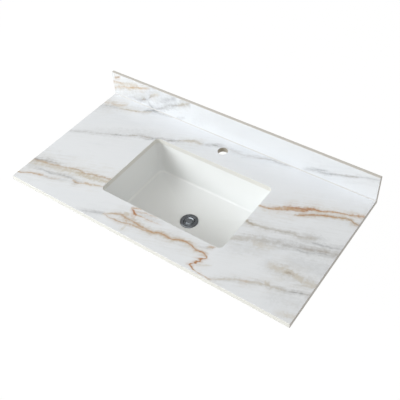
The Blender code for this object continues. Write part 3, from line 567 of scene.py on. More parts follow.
RIGHT_GOLD_LOW = (.745, .598, .78, .625, .8, .645, .82, .665, .84, .69, .86, .715)
RIGHT_SECOND_PATH = (.825, .635, .835, .647, .85, .665, .865, .685, .88, .7, .895, .72, .91, .73,
    .93, .742, .95, .76, .965, .766, .975, .768, .985, .76, 1, .765)
RIGHT_GREY_PATH = (.72, .453, .737, .452, .75, .448, .76, .455, .78, .465, .8, .477, .82, .49,
    .84, .502, .86, .51, .88, .515, .9, .53, .915, .545, .93, .555)
BROAD_PATH = (.715, .29, .725, .3, .74, .32, .76, .345, .78, .365, .8, .38, .82, .395, .84, .41,
    .86, .42, .88, .435, .9, .45, .915, .46, .93, .47, .95, .485, .97, .495, 1, .51)
CORNER_PATH = (.745, -.01, .755, .01, .77, .03, .785, .05, .8, .07, .815, .083, .835, .1,
    .845, .107, .86, .125, .88, .135, .89, .145, .9, .14, .915, .15, .93, .155, .945, .16,
    .96, .178, .975, .19, .99, .2, 1, .205)
SLAB_VEINS = (
    # The long vein from the left end, behind the basin, to the rear edge
    Vein(MIST, .016, MAIN_PATH, (0, .6, .1, .6, .15, .8, .25, .7, .33, .8, .4, .6, .46, .8, .55, .5,
         .64, .6, .75, .4)),
    Vein(MIST, .03, (.02, .56, .1, .62, .2, .72, .3, .79), (.1, .35, .25, .45)),
    Vein(SLATE, .0034, MAIN_PATH, (0, .15, .12, .15, .143, .3, .15, .8, .165, .7, .18, .15,
         .26, .15, .266, .7, .28, .1, .31, .2, .322, .7, .348, .6, .36, .1, .44, .15, .457, .6,
         .47, .5, .485, .1, .6, .15, .64, .3, .75, .2)),
    Vein(UMBER, .003, MAIN_PATH, (0, .1, .14, .15, .185, .2, .192, .5, .21, .55, .222, .2, .236, .6,
         .258, .6, .268, .1, .3, .2, .34, .2, .4, .2, .5, .1, .64, .2, .75, .1)),
    Vein(BEIGE, .009, (.335, .795, .38, .835, .43, .865), (.36, .6, .4, .8)),
    Vein(SLATE, .0028, (.245, .7, .26, .715, .285, .755, .3, .77), (.26, .6, .285, .5)),
    # The rear left corner
    Vein(MIST, .026, (0, .8, .05, .86, .1, .9, .16, .95, .2, .985), (0, .6, .1, .55, .18, .5)),
    Vein(SLATE, .0034, (0, .815, .03, .84, .06, .86, .075, .873), (0, .5, .05, .4)),
    Vein(BEIGE, .019, (0, .87, .03, .88, .06, .895, .085, .915), (0, .5, .03, .6, .07, .5)),
    Vein(GOLD, .0045, (0, .862, .02, .872, .04, .88, .055, .893, .07, .902, .09, .915), (0, .2,
         .05, .35, .075, .2)),
    Vein(BEIGE, .0065, (.06, .862, .07, .87, .105, .878, .12, .888, .135, .9, .15, .915, .17, .935,
         .18, .945), (.07, .5, .17, .8)),
    Vein(UMBER, .0024, (.06, .862, .105, .878, .135, .9, .155, .92), (.08, .4, .13, .5)),
    Vein(SLATE, .008, (.145, .922, .155, .93, .165, .945, .175, .96, .19, .965, .203, .968),
         (.155, .4, .165, .8, .187, .7)),
    Vein(MIST, .01, (.16, .99, .17, .985, .18, .96, .2, .96, .22, .968, .24, .975, .27, .985),
         (.165, 1, .24, .9)),
    # Gold and grey veins in the front left corner
    Vein(MIST, .016, (0, .18, .03, .2, .06, .215, .1, .232, .13, .24), (0, 1, .06, .9, .1, .6)),
    Vein(SLATE, .006, (0, .186, .015, .19, .03, .2, .06, .215, .1, .228), (0, .9, .012, .95,
         .025, .5, .07, .35)),
    Vein(MIST, .03, (0, .135, .03, .145, .07, .17, .12, .2), (0, .9, .07, .6)),
    Vein(BEIGE, .019, (0, .165, .05, .185, .1, .205, .15, .232, .2, .245, .24, .262, .29, .285),
         (0, .8, .1, .75, .15, .95, .27, 1)),
    Vein(UMBER, .004, LEFT_GOLD_PATH, (0, .35, .06, .3, .12, .3, .16, .45, .2, .45, .23, .4,
         .27, .45)),
    Vein(GOLD, .004, LEFT_GOLD_PATH, (0, .35, .07, .5, .1, .4, .24, .5, .28, .4)),
    Vein(MIST, .011, (0, .105, .04, .125, .08, .14, .12, .16, .165, .178, .22, .19), (.03, .7,
         .12, .95, .2, .5)),
    Vein(SLATE, .0026, (.03, .13, .08, .14, .1, .148, .12, .158, .14, .17, .165, .175, .2, .18,
         .22, .185), (.04, .3, .12, .45, .18, .4)),
    Vein(BEIGE, .0065, (.17, .167, .2, .17, .225, .19, .265, .215, .29, .235), (.185, .5, .26, .7,
         .29, .6)),
    Vein(GOLD, .0032, (.17, .169, .185, .17, .195, .165, .21, .175, .225, .19, .245, .2, .265, .215,
         .28, .228, .29, .235), (.185, .6, .23, .65, .26, .4, .28, .3)),
    Vein(UMBER, .005, (.182, .164, .195, .163, .208, .172), (.195, .8)),
    Vein(MIST, .009, (.07, .095, .1, .105, .13, .125, .15, .14, .175, .15, .2, .163), (.1, .9,
         .15, .7)),
    Vein(UMBER, .004, (0, .045, .01, .05, .03, .07, .05, .085, .07, .095, .085, .1), (0, .9,
         .02, .6, .07, .4)),
    Vein(GOLD, .004, (0, .045, .01, .05, .03, .07, .05, .085, .07, .095, .085, .1, .1, .105,
         .115, .115, .13, .13, .14, .155, .155, .168), (0, .6, .07, .7, .1, .3, .14, .2)),
    # The vein that enters at the front edge and runs right in front of the basin
    Vein(MIST, .014, FRONT_ENTRY_PATH, (.26, .8, .35, .9)),
    Vein(SLATE, .003, FRONT_ENTRY_PATH, (.26, .5, .35, .5)),
    Vein(MIST, .022, (.36, .08, .4, .11, .5, .105, .58, .13, .66, .14), (.42, .5, .6, .6)),
    Vein(BEIGE, .012, FRONT_HIGH_PATH, (.37, .5, .45, .6, .5, .8, .6, .8, .68, .5)),
    Vein(UMBER, .0026, FRONT_LOW_PATH, (.357, .3, .375, .5, .44, .5, .51, .3)),
    Vein(GOLD, .0036, FRONT_LOW_PATH, (.357, .4, .42, .6, .51, .8)),
    Vein(UMBER, .0026, FRONT_HIGH_PATH, (.37, .4, .4, .5, .5, .4, .55, .2, .7, .2)),
    Vein(GOLD, .0044, FRONT_HIGH_PATH, (.37, .5, .45, .6, .52, .8, .64, .8, .7, 1)),
    Vein(RUST, .002, FRONT_HIGH_PATH, (.4, .1, .5, .3, .55, .4, .62, .5, .69, .7)),
    Vein(GOLD, .0066, HOOK_PATH, (.02, 1, .06, 1, .11, 1), course=Course.CROSSWAYS),
    Vein(RUST, .0038, HOOK_PATH, (.02, .8, .06, .9, .11, .8), course=Course.CROSSWAYS),
    Vein(GOLD, .003, (.688, .018, .7, .012, .72, .012, .745, .01, .775, .012), (.7, .9, .745, .6)),
    # Threads between the front vein and the basin
    Vein(MIST, .016, (.42, .165, .45, .175, .5, .18, .55, .19), (.45, .7, .5, .5)),
    Vein(GOLD, .0056, (.408, .18, .42, .193, .43, .203, .445, .215, .46, .222), (.42, .9,
         .445, .6)),
    Vein(GOLD, .006, (.406, .187, .415, .178, .425, .17, .432, .158, .445, .148), (.412, .8,
         .42, .9, .435, 1)),
    Vein(RUST, .0052, (.408, .185, .415, .178, .425, .17, .432, .158, .445, .15), (.415, .7,
         .432, .8)),
    Vein(GOLD, .003, (.435, .152, .455, .16, .47, .163, .49, .165, .51, .17, .53, .173), (.45, .8,
         .51, .4)),
    Vein(GOLD, .0028, (.425, .17, .435, .175, .45, .188, .47, .195, .49, .2, .51, .206), (.44, .7,
         .49, .4)),
    Vein(BEIGE, .013, (.412, .108, .412, .128, .418, .15), (.128, .9), course=Course.CROSSWAYS),
    Vein(GOLD, .0024, (.44, .07, .437, .078, .428, .09, .42, .105), (.08, .8, .095, .7),
         course=Course.CROSSWAYS),
    Vein(BEIGE, .006, (.44, .01, .441, .04, .44, .075), (.03, .6, .06, .6),
         course=Course.CROSSWAYS),
    Vein(GOLD, .006, (.68, .19, .695, .195, .71, .203), (.695, .6)),
    Vein(MIST, .008, (.64, .148, .665, .16, .68, .172, .695, .19, .71, .205), (.665, .7, .69, .9)),
    Vein(BEIGE, .0045, (.695, .05, .7, .055, .72, .075, .735, .088), (.705, .7, .72, .6)),
    # The broad orange vein at the right and the one that joins it
    Vein(BEIGE, .021, RIGHT_GOLD_PATH, (.76, .5, .85, .7, .92, .4, 1, .4)),
    Vein(GOLD, .0125, RIGHT_GOLD_PATH, (.73, .8, .8, .9, .85, .95, .9, .9, 1, .85), (.715, .28,
         .75, .4, .78, .8, .81, 1, .84, 1, .86, .65, .9, .5, 1, .5), haze=.15),
    Vein(RUST, .0022, RIGHT_GOLD_TOP, (.74, .4, .8, .6, .85, .8, .89, .6)),
    Vein(RUST, .002, RIGHT_GOLD_LOW, (.76, .4, .8, .6, .845, .7)),
    Vein(RUST, .007, (.79, .667, .81, .685, .83, .7, .85, .714, .87, .73), (.8, .4, .83, .65,
         .85, .8)),
    Vein(RUST, .0024, RIGHT_GOLD_PATH[14:], (.88, .5, .94, .4, 1, .5)),
    Vein(BEIGE, .012, RIGHT_SECOND_PATH, (.84, .6, .95, .7, 1, .6)),
    Vein(GOLD, .005, RIGHT_SECOND_PATH, (.84, .7, .9, .8, .95, .7, 1, .4)),
    Vein(UMBER, .0036, RIGHT_SECOND_PATH, (.84, .4, .9, .5, .96, .7, .975, 1, 1, .8)),
    Vein(RUST, .0022, RIGHT_SECOND_PATH, (.835, .4, .87, .6, .91, .4, .96, .1, 1, .1)),
    # Greys at the right
    Vein(MIST, .014, RIGHT_GREY_PATH, (.73, .8, .82, .9, .92, 1)),
    Vein(BEIGE, .0075, RIGHT_GREY_PATH, (.73, .9, .76, .8, .82, .5, .9, .5)),
    Vein(SLATE, .003, RIGHT_GREY_PATH, (.73, .2, .76, .3, .88, .3, .92, .2)),
    Vein(UMBER, .0042, RIGHT_GREY_PATH[:8], (.725, .5, .735, .55, .75, .2)),
    Vein(MIST, .016, (.88, .5, .93, .52, .97, .54, 1, .565), (.91, .8, 1, .8)),
    Vein(SLATE, .0036, (.91, .514, .93, .52, .945, .522, .96, .53, .98, .54, 1, .555), (.93, .45,
         1, .35)),
    Vein(MIST, .015, (.87, .53, .9, .548, .93, .56, .97, .57), (.91, .9)),
    Vein(MIST, .024, BROAD_PATH, (.73, .9, .82, 1, .9, 1, 1, .9)),
    Vein(BEIGE, .013, BROAD_PATH, (.73, .5, .8, .4, .9, .2, 1, .3)),
    Vein(SLATE, .009, BROAD_PATH, (.73, .15, .8, .2, .9, .3, 1, .25)),
    Vein(BEIGE, .019, (.745, .345, .78, .357, .8, .347, .82, .355, .835, .365, .86, .38), (.77, .4,
         .79, .55, .83, .35)),
    Vein(UMBER, .0046, BROAD_PATH, (.9, .1, .915, .4, .93, .4, .94, .1, .952, .4, .968, .4, .98, .1,
         1, .2)),
    Vein(MIST, .016, (.87, .41, .9, .43, .94, .455, .975, .475, 1, .49), (.9, .9, .96, .9)),
    Vein(SLATE, .003, (.89, .425, .9, .43, .92, .435, .94, .455, .955, .47, .975, .48, .99, .487),
         (.9, .4, .96, .5)),
    Vein(MIST, .014, CORNER_PATH, (.76, .5, .85, .7, .93, .9, 1, .8)),
    Vein(BEIGE, .006, CORNER_PATH, (.76, .6, .8, .6, .83, .5, .88, .8, .93, .7, .95, .3, 1, .4)),
    Vein(SLATE, .0034, CORNER_PATH, (.76, .05, .86, .1, .9, .2, .95, .3, .962, .7, .978, .7,
         .99, .3, 1, .3)),
    Vein(GOLD, .0055, (.818, .09, .835, .1, .85, .11), (.835, .4)),
    Vein(BEIGE, .009, (.875, .15, .888, .15, .9, .14), (.888, .9)),
    Vein(MIST, .03, (.82, .245, .88, .262, .95, .262, 1, .265), (.88, .6, 1, .7)),
    Vein(BEIGE, .015, (.85, .262, .88, .265, .92, .272, .97, .258, 1, .26), (.88, .7, .93, .8,
         1, .6)),
    Vein(UMBER, .005, (.902, .266, .92, .27, .938, .266), (.92, .55)),
    Vein(MIST, .04, (.86, .33, .93, .355, 1, .385), (.93, .6, 1, .6)),
    Vein(MIST, .03, (.72, .24, .78, .29, .86, .34), (.76, .5, .82, .4)),
    Vein(MIST, .03, (.88, .08, .94, .11, 1, .14), (.94, .5, 1, .5)),
    Vein(BEIGE, .014, (.94, .02, .97, .03, 1, .045), (.97, .5, 1, .6)),
)
SPLASH_LEFT_PATH = (0, .27, .02, .38, .04, .47, .05, .53, .07, .55, .09, .64, .105, .69, .125, .76,
    .14, .8, .155, .87, .17, .95, .18, 1)
SPLASH_MIDDLE_PATH = (.18, 0, .185, .02, .2, .13, .215, .23, .23, .36, .245, .46, .265, .55,
    .28, .62, .295, .7, .305, .78, .32, .86, .335, .96, .34, 1)
SPLASH_GREY_PATH = (.05, .05, .06, .07, .09, .17, .13, .25, .14, .29, .15, .33, .16, .42, .165, .46,
    .17, .52, .175, .58, .185, .65, .195, .7)
SPLASH_RIGHT_PATH = (.745, 0, .755, .05, .77, .12, .785, .2, .8, .25, .82, .27, .835, .31, .85, .36,
    .865, .42, .88, .48, .895, .52, .91, .58, .925, .65, .94, .7, .955, .76, .97, .8, 1, .9)
SPLASH_VEINS = (
    # Gold bands at the left end
    Vein(UMBER, .006, (.01, .75, .016, .79, .024, .85, .034, .94), (.018, .6, .026, .8)),
    Vein(GOLD, .008, (.006, .72, .015, .8, .03, .89, .042, .98), (.018, .6, .03, .6)),
    Vein(BEIGE, .015, SPLASH_LEFT_PATH, (0, .4, .05, .7, .1, .8, .18, .6)),
    Vein(GOLD, .005, SPLASH_LEFT_PATH, (0, .4, .06, .6, .1, .8, .14, .6, .18, .4)),
    Vein(BEIGE, .01, (0, .52, .02, .57, .03, .6, .045, .62, .06, .68, .08, .75, .1, .8, .125, .88),
         (0, .5, .05, .8, .1, .6)),
    Vein(GOLD, .004, (0, .56, .02, .61, .04, .65, .06, .7), (0, .6, .04, .4)),
    # Grey clouds up to a third of the length
    Vein(MIST, .045, (0, -.05, .06, .2, .12, .45, .18, .7, .24, .95), (0, .6, .1, .8, .2, .8)),
    Vein(MIST, .02, SPLASH_GREY_PATH, (.07, .9, .14, 1, .18, .8)),
    Vein(SLATE, .0055, SPLASH_GREY_PATH, (.07, .2, .12, .35, .135, .7, .145, .5, .18, .3)),
    Vein(UMBER, .004, (.118, .22, .13, .255, .145, .3), (.135, .8)),
    Vein(SLATE, .004, (.095, .09, .105, .12, .13, .22, .14, .26), (.11, .5, .13, .5)),
    Vein(UMBER, .006, (.158, .42, .167, .5, .174, .6), (.167, .6)),
    Vein(BEIGE, .009, (.165, .5, .175, .6, .19, .7, .215, .8), (.18, .8, .2, .5)),
    Vein(SLATE, .008, (.17, -.02, .165, .06, .16, .12, .154, .22, .152, .28), (-.02, .6, .12, .5,
         .2, .3), course=Course.CROSSWAYS),
    Vein(MIST, .016, (.16, 0, .175, .05, .19, .1, .2, .16), (.175, 1)),
    Vein(MIST, .024, SPLASH_MIDDLE_PATH, (.19, .9, .25, 1, .33, .8)),
    Vein(SLATE, .007, SPLASH_MIDDLE_PATH, (.19, .45, .22, .35, .25, .3, .33, .2)),
    Vein(BEIGE, .008, SPLASH_MIDDLE_PATH[14:], (.29, .6, .3, 1, .32, .8)),
    Vein(UMBER, .0036, SPLASH_MIDDLE_PATH, (.19, .1, .25, .1, .27, .3, .29, .35, .32, .2)),
    Vein(MIST, .028, (.18, .3, .2, .48, .22, .62, .24, .72, .255, .82, .29, 1), (.21, .9, .26, .9)),
    Vein(SLATE, .01, (.205, .42, .22, .55, .24, .7, .255, .8, .28, .92), (.22, .2, .25, .35,
         .27, .25)),
    Vein(MIST, .01, (.27, 0, .285, .05, .3, .14, .315, .22), (.285, .9, .3, .8)),
    Vein(MIST, .04, (.33, 0, .37, .35, .43, .7, .5, 1), (.36, .25, .43, .1)),
    # The vein at the right end
    Vein(MIST, .012, SPLASH_RIGHT_PATH, (.745, .8, .82, 1, .9, .7, 1, .4)),
    Vein(SLATE, .003, SPLASH_RIGHT_PATH, (.745, .3, .8, .4, .82, .6, .9, .35, 1, .3)),
    Vein(SLATE, .0034, (.795, .3, .805, .32, .815, .37, .83, .42, .845, .46), (.81, .65, .83, .5)),
    Vein(UMBER, .0024, (.85, .38, .88, .49, .91, .58, .94, .69), (.88, .3, .93, .4)),
    Vein(MIST, .01, (.86, .12, .9, .28, .95, .5, 1, .65), (.92, .3, 1, .3)),
)

SLAB_LOW, SLAB_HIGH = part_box("stone_top")
SPLASH_LOW, SPLASH_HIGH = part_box("backsplash")
SLAB_STONE = VeinedSheet("veined_slab", "marble_slab", (0.815, 0.834, 0.868), 0.15,
                         corner=tuple(SLAB_LOW), size=tuple(SLAB_HIGH - SLAB_LOW),
                         veins=SLAB_VEINS,
                         bore=(0.0, SLAB_HIGH[1] - FAUCET_SETBACK, FAUCET_WALL))
SPLASH_STONE = VeinedSheet("veined_splash", "marble_slab", (0.805, 0.823, 0.852), 0.15,
                           corner=tuple(SPLASH_LOW), size=tuple(SPLASH_HIGH - SPLASH_LOW),
                           upright=True, veins=SPLASH_VEINS)
WHITE_CHINA = China("white_glaze", "white_china", (0.858, 0.870, 0.870), 0.25)
SPLASH_SILICONE = Moulded("splash_silicone", "silicone", (0.66, 0.65, 0.635), 0.38,
                          bloom=0.2, wave=0.6)
BOWL_SILICONE = Moulded("bowl_silicone", "silicone", (0.76, 0.75, 0.72), 0.38, bloom=0.15, wave=0.6)
DARK_CHROME = Metal("dark_chrome_finish", "dark_chrome", (0.098, 0.103, 0.110), 0.13, 1.0,
                    grain=(90.0, 90.0, 2600.0), smear=0.10)
CAP_CHROME = Metal("cap_chrome_finish", "dark_chrome", (0.128, 0.136, 0.145), 0.12, 1.0,
                   grain=(90.0, 2600.0, 90.0), smear=0.10)
BRASS = Metal("turned_brass", "brass", (0.66, 0.46, 0.19), 0.28, 1.0,
              grain=(120.0, 120.0, 2600.0), smear=0.2, tarnish=0.5)
STEEL = Metal("plated_steel", "steel", (0.56, 0.57, 0.58), 0.26, 1.0, smear=0.2, tarnish=0.35)
SPRING_STEEL = Metal("rolled_steel", "steel", (0.54, 0.55, 0.56), 0.30, 1.0,
                     grain=(2400.0, 120.0, 120.0), smear=0.2, tarnish=0.35)
BLACK_RUBBER = Moulded("black_rubber_finish", "black_rubber", (0.026, 0.026, 0.027), 0.62,
                       bloom=0.12)
NYLON = Moulded("white_nylon", "nylon", (0.72, 0.71, 0.66), 0.42, bloom=0.2)


def filleted(before: Sequence[float], corner: Sequence[float], after: Sequence[float],
             radius: float, steps: int = ARC_STEPS) -> Outline:
    """Points of the arc that rounds a corner of a profile, from tangent point to tangent point."""
    corner = Vector(corner)
    back = (Vector(before) - corner).normalized()
    ahead = (Vector(after) - corner).normalized()
    half = back.angle(ahead) / 2
    centre = corner + (back + ahead).normalized() * radius / sin(half)
    start = corner + back * radius / tan(half) - centre
    sweep = (pi - 2 * half) * (1 if back.cross(ahead) < 0 else -1)
    return [tuple(centre + Matrix.Rotation(sweep * step / steps, 2) @ start)
            for step in range(steps + 1)]


def softened(profile: Outline, radius: float, steps: int = 3) -> Outline:
    """Rounds the corners of a closed profile, each with at most the radius its sides allow."""
    rounded = []
    for index, corner in enumerate(profile):
        before, after = profile[index - 1], profile[(index + 1) % len(profile)]
        back, ahead = Vector(before) - Vector(corner), Vector(after) - Vector(corner)
        if back.angle(ahead) > pi - SOFT_ANGLE:
            rounded.append(corner)
            continue
        reach = ROUND_SHARE * min(back.length, ahead.length) * tan(back.angle(ahead) / 2)
        rounded += filleted(before, corner, after, min(radius, reach), steps)
    return rounded


def quarter(centre: Point, across: float, up: float, start: float = pi / 2) -> Outline:
    """Points of a quarter of an ellipse that runs clockwise from a start angle."""
    angles = [start - pi / 2 * step / ARC_STEPS for step in range(ARC_STEPS + 1)]
    return [(centre[0] + across * cos(a), centre[1] + up * sin(a)) for a in angles]


def rounded_outline(half_x: float, half_y: float, corner: float, long_steps: int = 1,
                    short_steps: int = 1, corner_steps: int = CORNER_STEPS) -> Outline:
    """A rectangle with round corners, run anticlockwise from its right side."""
    arcs = []
    for index, (sx, sy) in enumerate(((1, 1), (-1, 1), (-1, -1), (1, -1))):
        centre = Vector((sx * (half_x - corner), sy * (half_y - corner)))
        angles = [pi / 2 * (index + step / corner_steps) for step in range(corner_steps + 1)]
        arcs.append([centre + corner * Vector((cos(a), sin(a))) for a in angles])
    outline = []
    for index, arc in enumerate(arcs):
        following = arcs[(index + 1) % 4][0]
        side_steps = short_steps if index % 2 else long_steps
        outline += arc
        outline += [arc[-1].lerp(following, step / side_steps) for step in range(1, side_steps)]
    return [tuple(point) for point in outline]


def circle_outline(radius: float, steps: int, centre: Point = (0, 0)) -> Outline:
    """A circle as an outline, run anticlockwise."""
    angles = [2 * pi * step / steps for step in range(steps)]
    return [(centre[0] + radius * cos(a), centre[1] + radius * sin(a)) for a in angles]


def moved(outline: Outline, x: float, y: float) -> Outline:
    """An outline in another place."""
    return [(px + x, py + y) for px, py in outline]


def loop_of(bm: Form, points: Iterable[Sequence[float]]) -> tuple[list, list]:
    """Adds a closed loop of 3D points and gives back its vertices and edges."""
    verts = [bm.verts.new(point) for point in points]
    return verts, [bm.edges.new(pair) for pair in zip(verts, verts[1:] + verts[:1])]


def bridged(rings: Iterable[Iterable[Sequence[float]]]) -> Form:
    """Bridges each ring of 3D points to the next one and caps both ends."""
    bm = bmesh.new()
    loops = [loop_of(bm, points) for points in rings]
    for (_, upper), (_, lower) in zip(loops, loops[1:]):
        bmesh.ops.bridge_loops(bm, edges=upper + lower)
    for verts, _ in (loops[0], loops[-1]):
        bm.faces.new(verts)
    return bm


def lofted(rings: Iterable[tuple[Outline, float]]) -> Form:
    """A form with a level outline at each of several heights."""
    return bridged([(x, y, level) for x, y in outline] for outline, level in rings)


def turned(profile: Outline, steps: int = TURN_STEPS) -> Form:
    """Spins a profile of radius and height about Z. One that ends on the axis stays open there."""
    bm = bmesh.new()
    verts = [bm.verts.new((radius, 0, level)) for radius, level in profile]
    sides = list(zip(verts, verts[1:]))
    if profile[0][0] > 0:
        sides.append((verts[-1], verts[0]))
    edges = [bm.edges.new(side) for side in sides]
    bmesh.ops.spin(bm, geom=verts + edges, axis=(0, 0, 1), cent=(0, 0, 0), angle=2 * pi,
                   steps=steps, use_merge=True)
    return bm


def ring(inner: float, outer: float, low: float, high: float, rounding: float,
         steps: int = TURN_STEPS) -> Form:
    """A flat ring with rounded edges."""
    return turned(softened([(inner, low), (outer, low), (outer, high), (inner, high)], rounding),
                  steps)


def scaled(outline: Outline, factor: float) -> Outline:
    """An outline grown or shrunk about the origin."""
    return [(x * factor, y * factor) for x, y in outline]


def wound(bm: Form, section: Outline, turns: float, pitch: float,
          steps: int = THREAD_STEPS) -> None:
    """Winds a closed section of radius and height round Z, upwards, and caps its ends.

    Args:
        bm: The mesh that takes the new form.
        section: The section at the start.
        turns: How often it goes round.
        pitch: How far it rises in one turn.
        steps: The steps in one turn.
    """
    verts, edges = loop_of(bm, [(radius, 0, level) for radius, level in section])
    count = round(turns * steps)
    made = bmesh.ops.spin(bm, geom=verts + edges, axis=(0, 0, 1), cent=(0, 0, 0),
                          dvec=(0, 0, pitch * turns / count), angle=2 * pi * turns, steps=count)
    last = [item for item in made["geom_last"] if isinstance(item, bmesh.types.BMEdge)]
    for loop in (edges, last):
        bmesh.ops.contextual_create(bm, geom=loop)


def thread(bm: Form, root: float, crest: float, low: float, high: float,
           pitch: float) -> None:
    """Winds the ridge of a screw thread round a core."""
    buried = root - THREAD_ROOT if crest > root else root + THREAD_ROOT
    section = [(buried, low)] + [(crest, low + pitch * share) for share in THREAD_CREST_SHARES]
    section.append((buried, low + pitch * THREAD_FOOT_SHARE))
    wound(bm, section, (high - low) / pitch - 1, pitch)


def drawn_out(bm: Form, vector: Triple) -> Form:
    """Draws the flat faces of a form out along a vector and gives it back."""
    grown = bmesh.ops.extrude_face_region(bm, geom=bm.faces[:])["geom"]
    ends = [item for item in grown if isinstance(item, bmesh.types.BMVert)]
    bmesh.ops.translate(bm, verts=ends, vec=vector)
    return bm


def extruded(points: Iterable[Sequence[float]], vector: Triple) -> Form:
    """A flat outline of 3D points drawn out along a vector."""
    bm = bmesh.new()
    bm.faces.new([bm.verts.new(point) for point in points])
    return drawn_out(bm, vector)


def sideways(section: Outline, width: float) -> Form:
    """A section of Y and Z drawn out along X, half to each side."""
    return extruded([(-width / 2, y, z) for y, z in section], (width, 0, 0))


def fan(count: int, start: float = 0.0) -> list[Matrix]:
    """Even turns about Z, the first by a share of a step."""
    return [Matrix.Rotation(2 * pi * (step + start) / count, 4, "Z") for step in range(count)]


def upright(outline: Outline, low: float, high: float) -> Form:
    """A level outline drawn up from one height to another."""
    return extruded([(x, y, low) for x, y in outline], (0, 0, high - low))


def plate(outlines: Iterable[Outline], low: float, high: float) -> Form:
    """A flat plate from an outer outline and the outlines of its holes."""
    bm = bmesh.new()
    edges = []
    for outline in outlines:
        edges += loop_of(bm, [(x, y, low) for x, y in outline])[1]
    bmesh.ops.triangle_fill(bm, edges=edges, use_beauty=True)
    return drawn_out(bm, (0, 0, high - low))


def bevelled(bm: Form, chosen: Callable[[bmesh.types.BMEdge], bool], width: float,
             segments: int = 3) -> Form:
    """Rounds the chosen edges of a form and gives it back."""
    edges = [edge for edge in bm.edges if chosen(edge)]
    bmesh.ops.bevel(bm, geom=edges, offset=width, segments=segments, profile=0.5,
                    affect="EDGES", material=-1)
    return bm


def at_level(edge: bmesh.types.BMEdge, level: float) -> bool:
    """Whether an edge lies at a height."""
    return all(abs(vert.co.z - level) < MERGE for vert in edge.verts)


def is_sharp(edge: bmesh.types.BMEdge) -> bool:
    """Whether the faces at an edge meet at a clear angle."""
    return edge.calc_face_angle(0) > SHARP_ANGLE


def closed_mesh(bm: Form, name: str) -> bpy.types.Mesh:
    """Closes a form into a mesh with its faces out and its round stretches smooth."""
    bmesh.ops.remove_doubles(bm, verts=bm.verts, dist=MERGE)
    bmesh.ops.recalc_face_normals(bm, faces=bm.faces)
    mesh = bpy.data.meshes.new(name)
    bm.to_mesh(mesh)
    bm.free()
    mesh.shade_smooth()
    mesh.set_sharp_from_angle(angle=SMOOTH_ANGLE)
    return mesh


def linked(name: str, data: bpy.types.ID) -> bpy.types.Object:
    """Puts a mesh, a lamp or a camera into the scene at the origin."""
    item = bpy.data.objects.new(name, data)
    bpy.context.scene.collection.objects.link(item)
    return item


def aimed(name: str, data: bpy.types.ID, place: Vector, axes: Sequence[Vector]) -> bpy.types.Object:
    """Puts a lamp or a camera at a place, with its own three axes along the given ones."""
    item = linked(name, data)
    item.matrix_world = Matrix.LocRotScale(place, Matrix(axes).transposed(), None)
    return item


def carved(bm: Form, *cuts: tuple[str, Form]) -> Form:
    """Joins forms to a form, or cuts them from it.

    Args:
        bm: The form.
        cuts: Pairs of a boolean operation and the form that it uses.

    Returns:
        The changed form.
    """
    item = linked("blank", closed_mesh(bm, "blank"))
    helpers = [item]
    for operation, tool in cuts:
        helper = linked("tool", closed_mesh(tool, "tool"))
        modifier = item.modifiers.new("cut", "BOOLEAN")
        modifier.object = helper
        modifier.operation = operation
        modifier.solver = "EXACT"
        helpers.append(helper)
    bpy.context.view_layer.update()
    graph = bpy.context.evaluated_depsgraph_get()
    mesh = bpy.data.meshes.new_from_object(item.evaluated_get(graph))
    result = bmesh.new()
    result.from_mesh(mesh)
    for helper in helpers:
        bpy.data.objects.remove(helper, do_unlink=True)
    bpy.data.meshes.remove(mesh)
    return result


def repeated(bm: Form, places: Iterable[Matrix]) -> Form:
    """Copies of one form at several places."""
    mesh = closed_mesh(bm, "repeated")
    result = bmesh.new()
    for place in places:
        first = len(result.verts)
        result.from_mesh(mesh)
        result.verts.ensure_lookup_table()
        bmesh.ops.transform(result, matrix=place, verts=result.verts[first:])
    bpy.data.meshes.remove(mesh)
    return result


def joined(*forms: Form) -> Form:
    """Several forms as one mesh."""
    result = bmesh.new()
    for form in forms:
        mesh = closed_mesh(form, "joined")
        result.from_mesh(mesh)
        bpy.data.meshes.remove(mesh)
    return result


@dataclass(frozen=True)
class Plan:
    """The sizes and levels that several sub-assemblies share."""

    length: float = 1.0922
    depth: float = 0.5588
    thickness: float = 0.018
    rail_bearing: float = 0.040
    cutout_length: float = 0.4826
    cutout_width: float = 0.3048
    cutout_rear_margin: float = 0.1377
    bowl_bead: float = 0.0015
    reveal: float = 0.003
    wall_depth: float = 0.122
    floor_fall: float = 0.0185
    recess_depth: float = 0.003
    boss_depth: float = 0.030
    rim_width: float = 0.026
    rim_thickness: float = 0.014
    rim_round: float = 0.003
    china: float = 0.010
    flange_height: float = 0.003
    gasket: float = 0.0015
    body_radius: float = 0.0206
    bore_radius: float = 0.017
    throat_radius: float = 0.019
    throat_depth: float = 0.0085
    seat_cone_depth: float = 0.003
    gasket_play: float = 0.0004

    @property
    def rear(self) -> float:
        """Where the slab's rear edge lies."""
        return self.rail_bearing / 2

    @property
    def front(self) -> float:
        """Where the slab's front edge lies."""
        return self.rear - self.depth

    @property
    def cutout_centre(self) -> float:
        """Where the middle of the cut-out and of the drain lies."""
        return self.rear - self.cutout_rear_margin - self.cutout_width / 2

    @property
    def opening(self) -> Point:
        """Half of the basin's opening, along and across."""
        return self.cutout_length / 2 + self.reveal, self.cutout_width / 2 + self.reveal

    @property
    def rim_level(self) -> float:
        """The top of the basin's rim."""
        return -(self.bowl_bead + 2 * SEAT_GAP)

    @property
    def floor_level(self) -> float:
        """The lowest edge of the basin's floor, measured from its rim."""
        return -self.wall_depth - self.floor_fall

    @property
    def seat_level(self) -> float:
        """The drain's recess, measured from the rim."""
        return self.floor_level - self.recess_depth

    @property
    def flange_level(self) -> float:
        """The top of the drain's flange."""
        return self.rim_level + self.seat_level + self.gasket + 2 * SEAT_GAP + self.flange_height

    @property
    def boss_level(self) -> float:
        """The underside of the basin's boss, measured from the rim."""
        return self.seat_level - self.boss_depth


